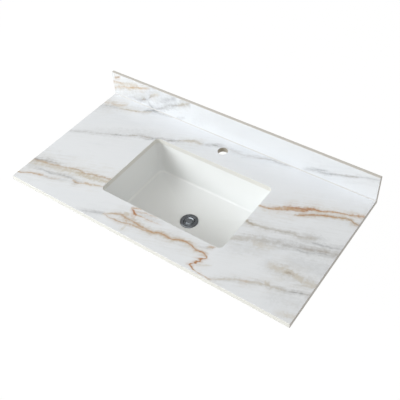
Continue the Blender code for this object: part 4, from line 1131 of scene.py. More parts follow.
@dataclass(frozen=True)
class Assembly:
    """What every sub-assembly shares: the plan, and how a form becomes a finished piece."""

    plan: Plan

    def piece(self, bm: Form, node: str, finish: Finish, at: Triple = (0, 0, 0),
              body: str = "top") -> bpy.types.Object:
        """Makes a form the piece that stands for a CAD node.

        Args:
            bm: The form.
            node: The CAD node.
            finish: The finish.
            at: Where the form's own origin lies.
            body: The CAD body that the piece moves with.

        Returns:
            The piece.
        """
        bmesh.ops.translate(bm, verts=bm.verts, vec=at)
        name = f"{node}_form"
        mesh = closed_mesh(bm, name)
        mesh.materials.append(finish.material())
        item = linked(name, mesh)
        weighted = item.modifiers.new("even_normals", "WEIGHTED_NORMAL")
        weighted.keep_sharp = True
        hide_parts(node)
        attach(item, body)
        LOG.info("%s: %d faces, %s", name, len(mesh.polygons), finish.name)
        return item

    @property
    def drain_place(self) -> Triple:
        """The drain's axis at the top of its flange."""
        return 0, self.plan.cutout_centre, self.plan.flange_level

    @property
    def bowl_place(self) -> Triple:
        """The middle of the basin's opening."""
        return 0, self.plan.cutout_centre, self.plan.rim_level


@dataclass(frozen=True)
class Counter(Assembly):
    """The slab with its cut-out and faucet hole, the backsplash and the bead between them."""

    arris: float = 0.001
    cutout_corner: float = 0.015
    faucet_radius: float = 0.0175
    splash_rise: float = 0.100
    splash_thickness: float = 0.012
    splash_bead: float = 0.0008
    splash_fillet: float = 0.0022
    bead_steps: int = 180
    bead_wave: float = 0.00035
    wave_scale: float = 28.0
    wave_offset: Point = (3.7, 0.2)

    def build(self) -> None:
        """Builds the three pieces."""
        self.slab()
        self.splash()
        self.splash_seal()

    def slab(self) -> None:
        """The slab, with fine arcs and rounded arrises."""
        plan = self.plan
        half, top = plan.length / 2, plan.thickness
        outer = [(-half, plan.front), (half, plan.front), (half, plan.rear), (-half, plan.rear)]
        cutout = rounded_outline(plan.cutout_length / 2, plan.cutout_width / 2, self.cutout_corner)
        faucet = circle_outline(self.faucet_radius, TURN_STEPS, (0, plan.rear - FAUCET_SETBACK))
        bm = plate((outer, moved(cutout, 0, plan.cutout_centre), faucet), 0, top)
        bmesh.ops.dissolve_limit(bm, angle_limit=FLAT_ANGLE, verts=bm.verts, edges=bm.edges)
        bevelled(bm, lambda e: at_level(e, top) and e.calc_face_angle(0) > 1, self.arris)
        self.piece(bm, "stone_top", SLAB_STONE)

    def splash(self) -> None:
        """The backsplash, a sawn strip with rounded arrises."""
        plan = self.plan
        front, top = plan.rear - self.splash_thickness, plan.thickness + self.splash_rise
        foot = plan.thickness + 2 * SEAT_GAP + self.splash_bead
        bm = sideways([(front, foot), (front, top), (plan.rear, top), (plan.rear, foot)],
                      plan.length)
        bevelled(bm, lambda e: all(v.co.y < front + MERGE or v.co.z > top - MERGE for v in e.verts)
                 and not at_level(e, foot), self.arris)
        self.piece(bm, "backsplash", SPLASH_STONE)

    def splash_seal(self) -> None:
        """The bead of silicone under the backsplash, tooled by hand into a slightly wavy fillet."""
        plan = self.plan
        half, low = plan.length / 2, plan.thickness + SEAT_GAP
        nose = plan.rear - self.splash_thickness - SEAT_GAP
        rear, top = plan.rear - self.arris, low + self.splash_bead
        hollow = quarter((nose - self.splash_fillet, low + self.splash_fillet),
                         self.splash_fillet, self.splash_fillet, 0)
        section = [(rear, low)] + hollow[::-1] + [(nose, top), (rear, top)]
        bm = sideways(section, plan.length)
        for step in range(1, self.bead_steps):
            x = -half + plan.length * step / self.bead_steps
            bmesh.ops.bisect_plane(bm, geom=bm.verts[:] + bm.edges[:] + bm.faces[:],
                                   plane_co=(x, 0, 0), plane_no=(1, 0, 0))
        for vert in bm.verts:
            if vert.co.y < nose - MERGE and vert.co.z > low + MERGE:
                spot = Vector((vert.co.x * self.wave_scale, *self.wave_offset))
                push = noise.noise(spot) * self.bead_wave
                vert.co.y += push * (1 if vert.co.z > top else 0.5)
                vert.co.z += push * 0.3
        self.piece(bm, "backsplash_seal", SPLASH_SILICONE)


@dataclass(frozen=True)
class Basin(Assembly):
    """The undermount basin, with its overflow passage, and the bead that seals it."""

    corner: float = 0.022
    draft: float = 0.015
    fold_radius: float = 0.011
    floor_bow: float = 1.25
    floor_steps: int = 26
    wall_steps: int = 6
    side_steps: tuple[int, int] = (18, 12)
    fold_steps: int = 12
    boss_radius: float = 0.043
    drain_hole_radius: float = 0.0225
    recess_radius: float = 0.03295
    recess_edge: float = 0.0009
    bead_width: float = 0.012
    overflow_drop: float = 0.040
    overflow_length: float = 0.030
    overflow_height: float = 0.012
    overflow_flare: float = 0.0022
    duct_width: float = 0.040
    duct_depth: float = 0.009
    duct_web: float = 0.007
    duct_headroom: float = 0.008
    housing_round: float = 0.005
    housing_steps: int = 6

    def build(self) -> None:
        """Builds the basin and its bead."""
        self.bowl()
        self.bead()

    def outline(self, inset: float, corner: float) -> Outline:
        """A level outline of the basin, inset from its opening."""
        half_x, half_y = self.plan.opening
        return rounded_outline(half_x - inset, half_y - inset, corner, *self.side_steps)

    def wall_inset(self, level: float) -> float:
        """How far the drafted wall leans in at a height below the rim."""
        return self.draft * level / -self.plan.wall_depth

    def floor_rings(self, start: Outline, end_radius: float, first: float,
                    last: float) -> list[tuple[Outline, float]]:
        """Rings from a rounded rectangle to a circle, as the floor falls to the drain."""
        rings = []
        for step in range(1, self.floor_steps + 1):
            share = step / self.floor_steps
            outline = []
            for x, y in start:
                reach = end_radius / hypot(x, y)
                outline.append((x + (x * reach - x) * share, y + (y * reach - y) * share))
            fall = 1 - (1 - share) ** self.floor_bow
            rings.append((outline, first + (last - first) * fall))
        return rings

    def fold_rings(self, offset: float, radius: float, top: Point) -> list[tuple[Outline, float]]:
        """The wall's foot, from the drafted wall round the fold to the floor."""
        fold = -self.plan.wall_depth - offset
        corner = (self.draft - offset, fold)
        inward = (corner[0] + self.plan.opening[1], fold - self.plan.floor_fall)
        rings = []
        for inset, level in filleted(top, corner, inward, radius, self.fold_steps):
            trim = max(inset + offset - self.draft, 0)
            rings.append((self.outline(inset, self.corner + offset - trim), level))
        return rings

    def inside(self) -> Form:
        """The space inside the basin, from above its rim down to the drain's recess."""
        plan = self.plan
        lip = quarter((-plan.rim_round, -plan.rim_round), plan.rim_round, plan.rim_round)
        profile = [(-plan.rim_round, OVERRUN)] + lip
        fold = self.fold_rings(0, self.fold_radius, (0, 0))
        wall_end = fold[0][1]
        for step in range(1, self.wall_steps):
            level = -plan.rim_round + (wall_end + plan.rim_round) * step / self.wall_steps
            profile.append((self.wall_inset(level), level))
        rings = [(self.outline(inset, self.corner - inset), level) for inset, level in profile]
        rings += fold
        floor, level = rings[-1]
        falling = self.floor_rings(floor, self.recess_radius, level, plan.floor_level)
        rings += falling[:-1]
        edge = falling[-1][0]
        rings += [(scaled(edge, 1 + self.recess_edge * (1 - outward) / self.recess_radius),
                   plan.floor_level - self.recess_edge * (1 - down))
                  for outward, down in quarter((0, 0), 1, 1)]
        rings.append((edge, plan.seat_level))
        return lofted(rings)

    def outside(self) -> Form:
        """The basin's outer skin: rim, walls, underside and drain boss."""
        plan = self.plan
        edge, thick, around = -plan.rim_width, plan.rim_thickness, plan.rim_round
        wall = self.wall_inset(-thick) - plan.china
        rim = quarter((edge + around, -around), -around, around)
        rim += quarter((edge + around, around - thick), -around, around, 0)
        rim += [(wall - around, -thick), (wall, -thick - around)]
        rings = [(self.outline(inset, self.corner - inset), level) for inset, level in rim]
        rings += self.fold_rings(plan.china, self.fold_radius + plan.china, (-plan.china, 0))
        floor, level = rings[-1]
        rings += self.floor_rings(floor, self.boss_radius, level, plan.floor_level - plan.china)
        boss = rings[-1][0]
        rings += [(scaled(boss, 1 - inset / self.boss_radius), plan.boss_level + rise)
                  for inset, rise in quarter((around, around), -around, around, 0)]
        return lofted(rings)

    def duct_side(self, offset: float, top: float, drain_level: float) -> Outline:
        """The overflow duct seen from the side, offset outwards from the inner surface."""
        corner = -self.plan.wall_depth - offset
        side = [(self.wall_inset(level) - self.plan.opening[1] - offset, level)
                for level in (top, corner)]
        return side + [(0, drain_level)]

    def housing(self, outer_floor: float) -> Form:
        """The bulge in the front wall and under the floor that holds the passage."""
        plan = self.plan
        top = -plan.rim_thickness / 2
        near = self.duct_side(plan.china / 2, top, plan.floor_level - plan.china / 2)
        far = self.duct_side(2 * self.duct_web + self.duct_depth, top, outer_floor)
        bm = sideways(near + far[::-1], self.duct_width + 2 * self.duct_web)
        return bevelled(bm, lambda e: abs(e.verts[0].co.x - e.verts[1].co.x) < MERGE
                        and min(v.co.y for v in e.verts) < -plan.opening[1] / 2
                        and all(any(hypot(v.co.y - y, v.co.z - z) < MERGE for y, z in far)
                                for v in e.verts), self.housing_round, self.housing_steps)

    def mouth(self) -> Form:
        """The overflow's inlet, with a flared edge."""
        wall_y = self.wall_inset(-self.overflow_drop) - self.plan.opening[1]
        flare = self.overflow_flare
        flares = quarter((flare, -flare), -flare, -flare, 0)
        flares = [(0, -self.duct_web - self.duct_depth / 2)] + flares + [(flare, self.duct_web)]
        rings = []
        for grow, depth in flares:
            half_x, half_z = self.overflow_length / 2 + grow, self.overflow_height / 2 + grow
            outline = rounded_outline(half_x, half_z, half_z - MERGE)
            rings.append([(x, wall_y + depth, z - self.overflow_drop) for x, z in outline])
        return bridged(rings)

    def bowl(self) -> None:
        """The basin: its outer skin, less its inner space, with the passage cut through."""
        plan = self.plan
        ceiling = plan.seat_level - self.duct_web
        duct_floor = ceiling - self.duct_depth
        duct_top = -self.overflow_drop + self.overflow_height / 2 + self.duct_headroom
        near = self.duct_side(self.duct_web, duct_top, ceiling)
        far = self.duct_side(self.duct_web + self.duct_depth, duct_top, duct_floor)
        duct = sideways(near + far[::-1], self.duct_width)
        hole = upright(circle_outline(self.drain_hole_radius, TURN_STEPS),
                       plan.boss_level - OVERRUN, plan.seat_level + OVERRUN)
        bm = carved(self.outside(), ("UNION", self.housing(duct_floor - self.duct_web)),
                    ("DIFFERENCE", duct), ("DIFFERENCE", self.inside()),
                    ("DIFFERENCE", hole), ("DIFFERENCE", self.mouth()))
        self.piece(bm, "sink_bowl", WHITE_CHINA, self.bowl_place)

    def bead(self) -> None:
        """The silicone bead between the basin's rim and the slab's underside."""
        half_x, half_y = self.plan.opening
        outlines = [rounded_outline(half_x + grow, half_y + grow, self.corner + grow)
                    for grow in (self.plan.rim_round + SEAT_GAP,
                                 self.plan.rim_round + SEAT_GAP + self.bead_width)]
        bm = bevelled(plate(outlines, SEAT_GAP, SEAT_GAP + self.plan.bowl_bead), is_sharp,
                      SOFT_ROUND)
        self.piece(bm, "bowl_seal", BOWL_SILICONE, self.bowl_place)


@dataclass(frozen=True)
class Clamps(Assembly):
    """Four clips under the rim, each on a stud with an anchor, a washer and a wing nut."""

    spread_share: float = 0.62
    width: float = 0.025
    sheet: float = 0.002
    toe: float = 0.008
    bend: float = 0.002
    stud_offset: float = 0.009
    stud_radius: float = 0.003
    stud_root: float = 0.0026
    stud_play: float = 0.0004
    stud_tail: float = 0.004
    stud_pitch: float = 0.001
    slot_travel: float = 0.003
    heel_offset: float = 0.011
    anchor_depth: float = 0.011
    anchor_wall: float = 0.0013
    washer_radius: float = 0.0065
    washer_sheet: float = 0.0012
    nut_height: float = 0.007
    nut_top_radius: float = 0.0062
    nut_tip_radius: float = 0.0048
    wing_reach: float = 0.013
    wing_sheet: float = 0.0022
    wing_drop: float = 0.006
    wing_round: float = 0.0014
    clip_edge: float = 0.00025
    anchor_round: float = 0.0002

    @property
    def bar_top(self) -> float:
        """The top of a clip's bar."""
        return self.plan.rim_level - self.plan.rim_thickness - SEAT_GAP

    @property
    def washer_top(self) -> float:
        """The top of a washer."""
        return self.bar_top - self.sheet - SEAT_GAP

    @property
    def nut_top(self) -> float:
        """The top of a wing nut."""
        return self.washer_top - self.washer_sheet - SEAT_GAP

    @property
    def bore(self) -> float:
        """The radius of the holes that take a stud."""
        return self.stud_radius + self.stud_play

    def places(self) -> list[Matrix]:
        """Where each clip meets the rim's edge, turned to face out."""
        half_x, half_y = self.plan.opening
        edge, spread = half_y + self.plan.rim_width, self.spread_share * half_x
        sites = [(x * spread, y * edge, y * pi / 2) for x in (-1, 1) for y in (-1, 1)]
        return [Matrix.Translation((x, y + self.plan.cutout_centre, 0)) @ Matrix.Rotation(a, 4, "Z")
                for x, y, a in sites]

    def build(self) -> None:
        """Builds the four sets."""
        on_stud = {"stud_anchor": (self.anchor, BRASS), "clip_stud": (self.stud, STEEL),
                   "clip_washer": (self.washer, STEEL), "clip_wing_nut": (self.wing_nut, STEEL)}
        for index, place in enumerate(self.places(), 1):
            self.piece(repeated(self.clip(), [place]), f"bowl_clip_{index}", SPRING_STEEL)
            station = place @ Matrix.Translation((self.stud_offset, 0, 0))
            for name, (form, finish) in on_stud.items():
                self.piece(repeated(form(), [station]), f"{name}_{index}", finish)

    def clip(self) -> Form:
        """A bent strip: its toe holds the rim, its heel bears on the slab, and it is slotted."""
        toe, heel = -self.toe, self.stud_offset + self.heel_offset
        top, low = self.bar_top, self.bar_top - self.sheet
        outer = filleted((toe, low), (heel, low), (heel, 0), self.bend + self.sheet)
        inner = filleted((heel - self.sheet, 0), (heel - self.sheet, top), (toe, top), self.bend)
        section = [(toe, low)] + outer + [(heel, -SEAT_GAP), (heel - self.sheet, -SEAT_GAP)]
        section += inner + [(toe, top)]
        bm = extruded([(x, -self.width / 2, z) for x, z in section], (0, self.width, 0))
        outline = rounded_outline(self.bore + self.slot_travel, self.bore, self.bore - MERGE)
        slot = upright(moved(outline, self.stud_offset, 0), low - OVERRUN, top + OVERRUN)
        bm = carved(bm, ("DIFFERENCE", slot))
        bmesh.ops.dissolve_limit(bm, angle_limit=FLAT_ANGLE, verts=bm.verts, edges=bm.edges)
        return bevelled(bm, is_sharp, self.clip_edge, 2)

    def anchor(self) -> Form:
        """A brass insert in the slab."""
        return ring(self.bore, self.bore + self.anchor_wall, 0, self.anchor_depth,
                    self.anchor_round, SMALL_TURN_STEPS)

    def stud(self) -> Form:
        """A threaded stud with chamfered ends."""
        end = self.nut_top - self.nut_height - self.stud_tail
        root, chamfer = self.stud_root, self.stud_play
        core = turned([(0, self.anchor_depth), (root - chamfer, self.anchor_depth),
                       (root, self.anchor_depth - chamfer), (root, end + chamfer),
                       (root - chamfer, end), (0, end)], SMALL_TURN_STEPS)
        ridge = bmesh.new()
        thread(ridge, root, self.stud_radius, end + chamfer, self.anchor_depth - chamfer,
               self.stud_pitch)
        return joined(core, ridge)

    def washer(self) -> Form:
        """A flat washer with one rolled edge."""
        return ring(self.bore, self.washer_radius, self.washer_top - self.washer_sheet,
                    self.washer_top, FINE_ROUND, SMALL_TURN_STEPS)

    def wing_nut(self) -> Form:
        """A pressed wing nut: a tapered hub with two rounded wings that reach down past it."""
        top, end = self.nut_top, self.nut_top - self.nut_height
        profile = [(self.bore, top), (self.nut_top_radius, top), (self.nut_tip_radius, end),
                   (self.bore, end)]
        hub = turned(softened(profile, WIDE_ROUND), SMALL_TURN_STEPS)
        cuts = []
        for side in (-1, 1):
            root = (self.bore + self.nut_tip_radius) / 2
            shoulder, foot = top - self.nut_height / 2, end + self.wing_sheet / 2
            reach, tip = self.wing_reach, end - self.wing_drop
            outline = [(root, shoulder)]
            outline += filleted((root, shoulder), (reach, end), (reach, tip), self.wing_round)
            outline += filleted((reach, end), (reach, tip), (root, foot), self.wing_round)
            outline.append((root, foot))
            wing = extruded([(side * x, -self.wing_sheet / 2, z) for x, z in outline],
                            (0, self.wing_sheet, 0))
            cuts.append(("UNION", bevelled(wing, is_sharp, FULL_ROUND)))
        return carved(hub, *cuts)


@dataclass(frozen=True)
class Drain(Assembly):
    """The drain's body, the seals and nut that clamp it, and the tailpiece.

    Heights are measured from the top of the flange.
    """

    flange_radius: float = 0.03175
    flange_lip: float = 0.001
    flange_crown: float = 0.004
    bevel_width: float = 0.0025
    bevel_depth: float = 0.003
    body_tail: float = 0.014
    slot_top: float = 0.0115
    slot_height: float = 0.014
    slot_width: float = 0.009
    slot_count: int = 4
    thread_depth: float = 0.0006
    thread_pitch: float = 0.0022
    thread_end: float = 0.0005
    hub_bore: float = 0.0061
    hub_wall: float = 0.0025
    hub_height: float = 0.009
    hub_top: float = -0.0371
    rib_sheet: float = 0.003
    rib_count: int = 4
    gasket_radius: float = 0.029
    cone_height: float = 0.011
    cone_plug: float = 0.003
    cone_radius: float = 0.031
    cone_foot: float = 0.027
    cone_rim: float = 0.005
    hole_radius: float = 0.0225
    friction_sheet: float = 0.0015
    nut_radius: float = 0.031
    nut_height: float = 0.010
    nut_sides: int = 6
    nut_chamfer: float = 0.0012
    tail_radius: float = 0.015875
    tail_wall: float = 0.0015
    tail_length: float = 0.100
    tail_collar: float = 0.006
    tail_thread: float = 0.012
    tail_washer: float = 0.0015
    cone_round: float = 0.0008

    @property
    def inner_radius(self) -> float:
        """The radius of the holes in the seals and the nut."""
        return self.plan.body_radius + self.plan.gasket_play

    @property
    def cone_top(self) -> float:
        """The boss's underside, where the tapered gasket presses."""
        plan = self.plan
        return plan.rim_level + plan.boss_level - plan.flange_level - SEAT_GAP

    @property
    def friction_top(self) -> float:
        """The top of the friction washer."""
        return self.cone_top - self.cone_height - SEAT_GAP

    @property
    def nut_top(self) -> float:
        """The top of the lock nut."""
        return self.friction_top - self.friction_sheet - SEAT_GAP

    @property
    def body_end(self) -> float:
        """The lower end of the body."""
        return self.nut_top - self.nut_height - self.body_tail

    def build(self) -> None:
        """Builds the body, the seals, the nut and the tailpiece."""
        for node, form, finish in (("drain_body", self.body, DARK_CHROME),
                                   ("flange_gasket", self.flange_gasket, BLACK_RUBBER),
                                   ("tapered_gasket", self.cone_gasket, BLACK_RUBBER),
                                   ("friction_washer", self.friction_washer, NYLON),
                                   ("lock_nut", self.lock_nut, BRASS),
                                   ("tailpiece", self.tailpiece, DARK_CHROME),
                                   ("tailpiece_washer", self.tail_seal, BLACK_RUBBER)):
            self.piece(form(), node, finish, self.drain_place)

    def body(self) -> Form:
        """The flanged body: crowned ring, bevelled throat, seat, slots, hub and thread."""
        plan = self.plan
        rise = plan.flange_height - self.flange_lip
        crown = quarter((self.flange_radius - self.flange_crown, -rise), self.flange_crown, rise)
        throat = plan.throat_radius
        bevel_top, bevel_end = (throat + self.bevel_width, 0), (throat, -self.bevel_depth)
        profile = crown[::-1]
        profile += filleted(crown[0], bevel_top, bevel_end, self.bevel_width / 2)
        profile += filleted(bevel_top, bevel_end, (throat, -plan.throat_depth),
                            self.bevel_width / 2)
        root, thread_top = plan.body_radius - self.thread_depth, self.friction_top
        profile += [(throat, -plan.throat_depth),
                    (plan.bore_radius, -plan.throat_depth - plan.seat_cone_depth),
                    (plan.bore_radius, self.body_end), (root, self.body_end),
                    (root, thread_top), (plan.body_radius, thread_top + self.thread_depth),
                    (plan.body_radius, -plan.flange_height),
                    (self.flange_radius, -plan.flange_height)]
        low = self.hub_top - self.hub_height
        hub = ring(self.hub_bore, self.hub_bore + self.hub_wall, low, self.hub_top,
                   SOFT_ROUND, SMALL_TURN_STEPS)
        inner_end = self.hub_bore + self.hub_wall / 2
        outer_end = (plan.bore_radius + plan.body_radius) / 2
        rib = [(inner_end, -self.rib_sheet / 2), (outer_end, -self.rib_sheet / 2),
               (outer_end, self.rib_sheet / 2), (inner_end, self.rib_sheet / 2)]
        rib_form = bevelled(upright(rib, low + SEAT_GAP, self.hub_top - SEAT_GAP), is_sharp,
                            FULL_ROUND)
        ribs = repeated(rib_form, fan(self.rib_count, 1 / 2))
        window = rounded_outline(self.slot_width / 2, self.slot_height / 2,
                                 self.slot_width / 2 - MERGE)
        middle = -self.slot_top - self.slot_height / 2
        slot = extruded([(plan.bore_radius - OVERRUN, y, z + middle) for y, z in window],
                        (plan.body_radius - plan.bore_radius + 2 * OVERRUN, 0, 0))
        slots = repeated(slot, fan(self.slot_count))
        shell = carved(turned(profile), ("UNION", hub), ("UNION", ribs), ("DIFFERENCE", slots))
        ridge = bmesh.new()
        thread(ridge, root, plan.body_radius, self.body_end + self.thread_end, thread_top,
               self.thread_pitch)
        return joined(shell, ridge)

    def flange_gasket(self) -> Form:
        """The rubber ring under the flange."""
        top = -self.plan.flange_height - SEAT_GAP
        return ring(self.inner_radius, self.gasket_radius, top - self.plan.gasket, top,
                    SOFT_ROUND)

    def cone_gasket(self) -> Form:
        """The tapered gasket, with a plug that enters the basin's hole."""
        top, plug = self.cone_top, self.hole_radius - SEAT_GAP
        profile = [(self.inner_radius, top + self.cone_plug),
                   (plug - SEAT_GAP, top + self.cone_plug), (plug, top), (self.cone_radius, top),
                   (self.cone_radius, top - self.cone_rim),
                   (self.cone_foot, top - self.cone_height),
                   (self.inner_radius, top - self.cone_height)]
        return turned(softened(profile, self.cone_round))

    def friction_washer(self) -> Form:
        """The plastic washer between the gasket and the nut."""
        return ring(self.inner_radius, self.cone_radius, self.friction_top - self.friction_sheet,
                    self.friction_top, FINE_ROUND)

    def lock_nut(self) -> Form:
        """A hexagonal nut, its corners turned off to a cone on both faces."""
        top, low = self.nut_top, self.nut_top - self.nut_height
        flat = self.nut_radius * cos(pi / self.nut_sides)
        reach = self.nut_radius + OVERRUN
        drop = (reach - flat) * tan(SHARP_ANGLE)
        cone = turned([(self.inner_radius, top), (flat, top), (reach, top - drop),
                       (reach, low + drop), (flat, low), (self.inner_radius, low)])
        # The prism reaches past both faces, because a cut along shared planes sometimes fails
        hexagon = circle_outline(self.nut_radius, self.nut_sides)
        prism = bevelled(upright(hexagon, low - OVERRUN, top + OVERRUN),
                         lambda e: abs(e.verts[0].co.z - e.verts[1].co.z) > MERGE,
                         self.nut_chamfer)
        return carved(cone, ("INTERSECT", prism))

    def tailpiece(self) -> Form:
        """The pipe to the trap: its spigot enters the body, and its collar stops on a washer."""
        plan = self.plan
        bore, spigot = self.tail_radius - self.tail_wall, plan.bore_radius - plan.gasket_play
        top = self.body_end - self.tail_washer - 2 * SEAT_GAP
        low = top - self.tail_collar
        profile = [(bore, low - self.tail_length), (self.tail_radius, low - self.tail_length),
                   (self.tail_radius, low), (plan.body_radius, low), (plan.body_radius, top),
                   (spigot, top), (spigot, self.body_end + self.tail_thread),
                   (bore, self.body_end + self.tail_thread)]
        return turned(softened(profile, WIDE_ROUND))

    def tail_seal(self) -> Form:
        """The rubber washer between the body and the tailpiece."""
        top = self.body_end - SEAT_GAP
        inner = self.plan.bore_radius - self.plan.gasket_play + SEAT_GAP
        return ring(inner, self.plan.body_radius - SEAT_GAP, top - self.tail_washer, top,
                    SOFT_ROUND)


@dataclass(frozen=True)
class Stopper(Assembly):
    """The cap, its seal and its post, which rise together, and the cartridge that carries them.

    Heights are measured from the top of the flange.
    """

    travel: float = 0.009
    cap_sink: float = 0.002
    cap_play: float = 0.0005
    cap_dome: float = 0.0008
    cap_edge: float = 0.0010
    button_radius: float = 0.0112
    valley_radius: float = 0.0130
    valley_depth: float = 0.0023
    valley_round: float = 0.0015
    cap_disc: float = 0.003
    skirt_radius: float = 0.0135
    skirt_height: float = 0.005
    socket_depth: float = 0.0045
    seal_height: float = 0.0042
    seal_inset: float = 0.0008
    post_radius: float = 0.004
    shoulder_radius: float = 0.0060
    shoulder_height: float = 0.003
    spring_room: float = 0.010
    wire_radius: float = 0.0005
    spring_turns: int = 5
    sleeve_wall: float = 0.0016
    sleeve_lip: float = 0.0015
    sleeve_floor: float = 0.002
    sleeve_headroom: float = 0.001
    collar_width: float = 0.0006
    collar_height: float = 0.002
    spigot_radius: float = 0.0058
    vent_radius: float = 0.002
    hub_height: float = 0.009
    round_steps: int = 3
    wire_steps: int = 12

    @property
    def underside(self) -> float:
        """The underside of the cap's disc."""
        return -self.cap_sink - self.cap_disc

    @property
    def skirt_end(self) -> float:
        """The lower end of the cap's skirt."""
        return self.underside - self.skirt_height

    @property
    def sleeve_top(self) -> float:
        """The top of the cartridge's sleeve."""
        return self.skirt_end - self.sleeve_headroom

    @property
    def shoulder_top(self) -> float:
        """The top of the post's shoulder."""
        return self.sleeve_top - self.sleeve_lip - SEAT_GAP - self.travel

    @property
    def shoulder_end(self) -> float:
        """The underside of the post's shoulder."""
        return self.shoulder_top - self.shoulder_height

    @property
    def floor_top(self) -> float:
        """The floor that the spring stands on."""
        return self.shoulder_end - self.spring_room

    @property
    def sleeve_bore(self) -> float:
        """The radius of the sleeve's bore."""
        return self.shoulder_radius + SEAT_GAP

    def build(self) -> None:
        """Builds the moving pieces, the sleeve and the spring."""
        for node, form, finish, body in (("stopper_cap", self.cap, CAP_CHROME, "stopper"),
                                         ("stopper_seal", self.seal, BLACK_RUBBER, "stopper"),
                                         ("stopper_post", self.post, BRASS, "stopper"),
                                         ("cartridge_sleeve", self.sleeve, NYLON, "top"),
                                         ("cartridge_spring", self.spring, STEEL, "top")):
            self.piece(form(), node, finish, self.drain_place, body)

    def cap(self) -> Form:
        """A domed button in a round valley, a rounded edge, and a skirt with the post's socket."""
        rim = self.plan.throat_radius - self.cap_play
        shares = [step / ARC_STEPS for step in range(ARC_STEPS)]
        dome = [(self.button_radius * share, self.cap_dome * (1 - share * share) - self.cap_sink)
                for share in shares[:-1]]
        button = (self.button_radius, -self.cap_sink)
        valley = (self.valley_radius, -self.cap_sink - self.valley_depth)
        top = (rim, -self.cap_sink)
        edge = filleted(dome[-1], button, valley, self.valley_round)
        edge += filleted(button, valley, top, self.valley_round)
        edge += filleted(valley, top, (rim, self.underside), self.cap_edge)
        socket = self.post_radius + SEAT_GAP
        under = [(rim, self.underside), (self.skirt_radius, self.underside),
                 (self.skirt_radius, self.skirt_end), (socket, self.skirt_end),
                 (socket, self.skirt_end + self.socket_depth),
                 (0, self.skirt_end + self.socket_depth)]
        return turned(dome + edge + under)

    def seal(self) -> Form:
        """The rubber ring that closes the throat, tapered to its seat."""
        plan = self.plan
        top, inner = self.underside - SEAT_GAP, self.skirt_radius + SEAT_GAP
        end = top - self.seal_height
        slope = (plan.throat_radius - plan.bore_radius) / plan.seat_cone_depth
        seat = plan.throat_radius - slope * max(-plan.throat_depth - end, 0)
        taper_top = max(end + self.seal_height / 2, -plan.throat_depth + SEAT_GAP)
        clear = hypot(1, slope) * SEAT_GAP
        profile = [(inner, end), (seat - clear, end), (plan.throat_radius - clear, taper_top),
                   (plan.throat_radius - self.seal_inset, top), (inner, top)]
        return turned(softened(profile, SOFT_ROUND))

    def post(self) -> Form:
        """The plunger that carries the cap, with the shoulder that the spring lifts."""
        top = self.skirt_end + self.socket_depth - SEAT_GAP
        root = (self.post_radius, self.shoulder_top)
        profile = [(0, top)] + filleted((0, top), (self.post_radius, top), root, FULL_ROUND,
                                        self.round_steps)
        corners = [root, (self.shoulder_radius, self.shoulder_top),
                   (self.shoulder_radius, self.shoulder_end), (0, self.shoulder_end)]
        profile.append(root)
        for before, corner, after in zip(corners, corners[1:], corners[2:]):
            profile += filleted(before, corner, after, FINE_ROUND, self.round_steps)
        profile.append(corners[-1])
        return turned(profile, SMALL_TURN_STEPS)

    def sleeve(self) -> Form:
        """The nylon sleeve that screws into the body's hub."""
        throat, outer = self.post_radius + SEAT_GAP, self.sleeve_bore + self.sleeve_wall
        lip, collar = self.sleeve_top - self.sleeve_lip, outer + self.collar_width
        collar_end = self.floor_top - self.sleeve_floor
        collar_top = collar_end + self.collar_height
        spigot_end = collar_end - SEAT_GAP - self.hub_height
        profile = [(throat, self.sleeve_top), (outer, self.sleeve_top), (outer, collar_top),
                   (collar, collar_top), (collar, collar_end), (self.spigot_radius, collar_end),
                   (self.spigot_radius, spigot_end), (self.vent_radius, spigot_end),
                   (self.vent_radius, self.floor_top), (self.sleeve_bore, self.floor_top),
                   (self.sleeve_bore, lip), (throat, lip)]
        return turned(softened(profile, FINE_ROUND), SMALL_TURN_STEPS)

    def spring(self) -> Form:
        """The spring between the sleeve's floor and the post's shoulder."""
        low = self.floor_top + SEAT_GAP + self.wire_radius
        high = self.shoulder_end - SEAT_GAP - self.wire_radius
        mean = self.sleeve_bore - self.wire_radius - 2 * SEAT_GAP
        bm = bmesh.new()
        wound(bm, circle_outline(self.wire_radius, self.wire_steps, (mean, low)), self.spring_turns,
              (high - low) / self.spring_turns)
        return bm


@dataclass(frozen=True)
class Lamp:
    """A rectangular soft lamp that shines at the object's middle.

    Its direction is seen from the middle, and its span is the direction of its width. If it
    doesn't light dull surfaces, it shows in polished ones only.
    """

    name: str
    direction: Triple
    distance: float
    size: Point
    span: Triple
    power: float
    lights_dull: bool = True
    colour: Colour = (0.945, 0.982, 1.0)

    def build(self, middle: Vector) -> None:
        """Sets the lamp up."""
        lamp = bpy.data.lights.new(self.name, "AREA")
        lamp.energy = self.power
        lamp.shape = "RECTANGLE"
        lamp.size, lamp.size_y = self.size
        lamp.color = self.colour
        towards = Vector(self.direction).normalized()
        level = towards.cross(Vector(self.span)).normalized()
        item = aimed(self.name, lamp, middle + towards * self.distance,
                     (level.cross(towards), level, towards))
        item.visible_camera = False
        item.visible_diffuse = self.lights_dull


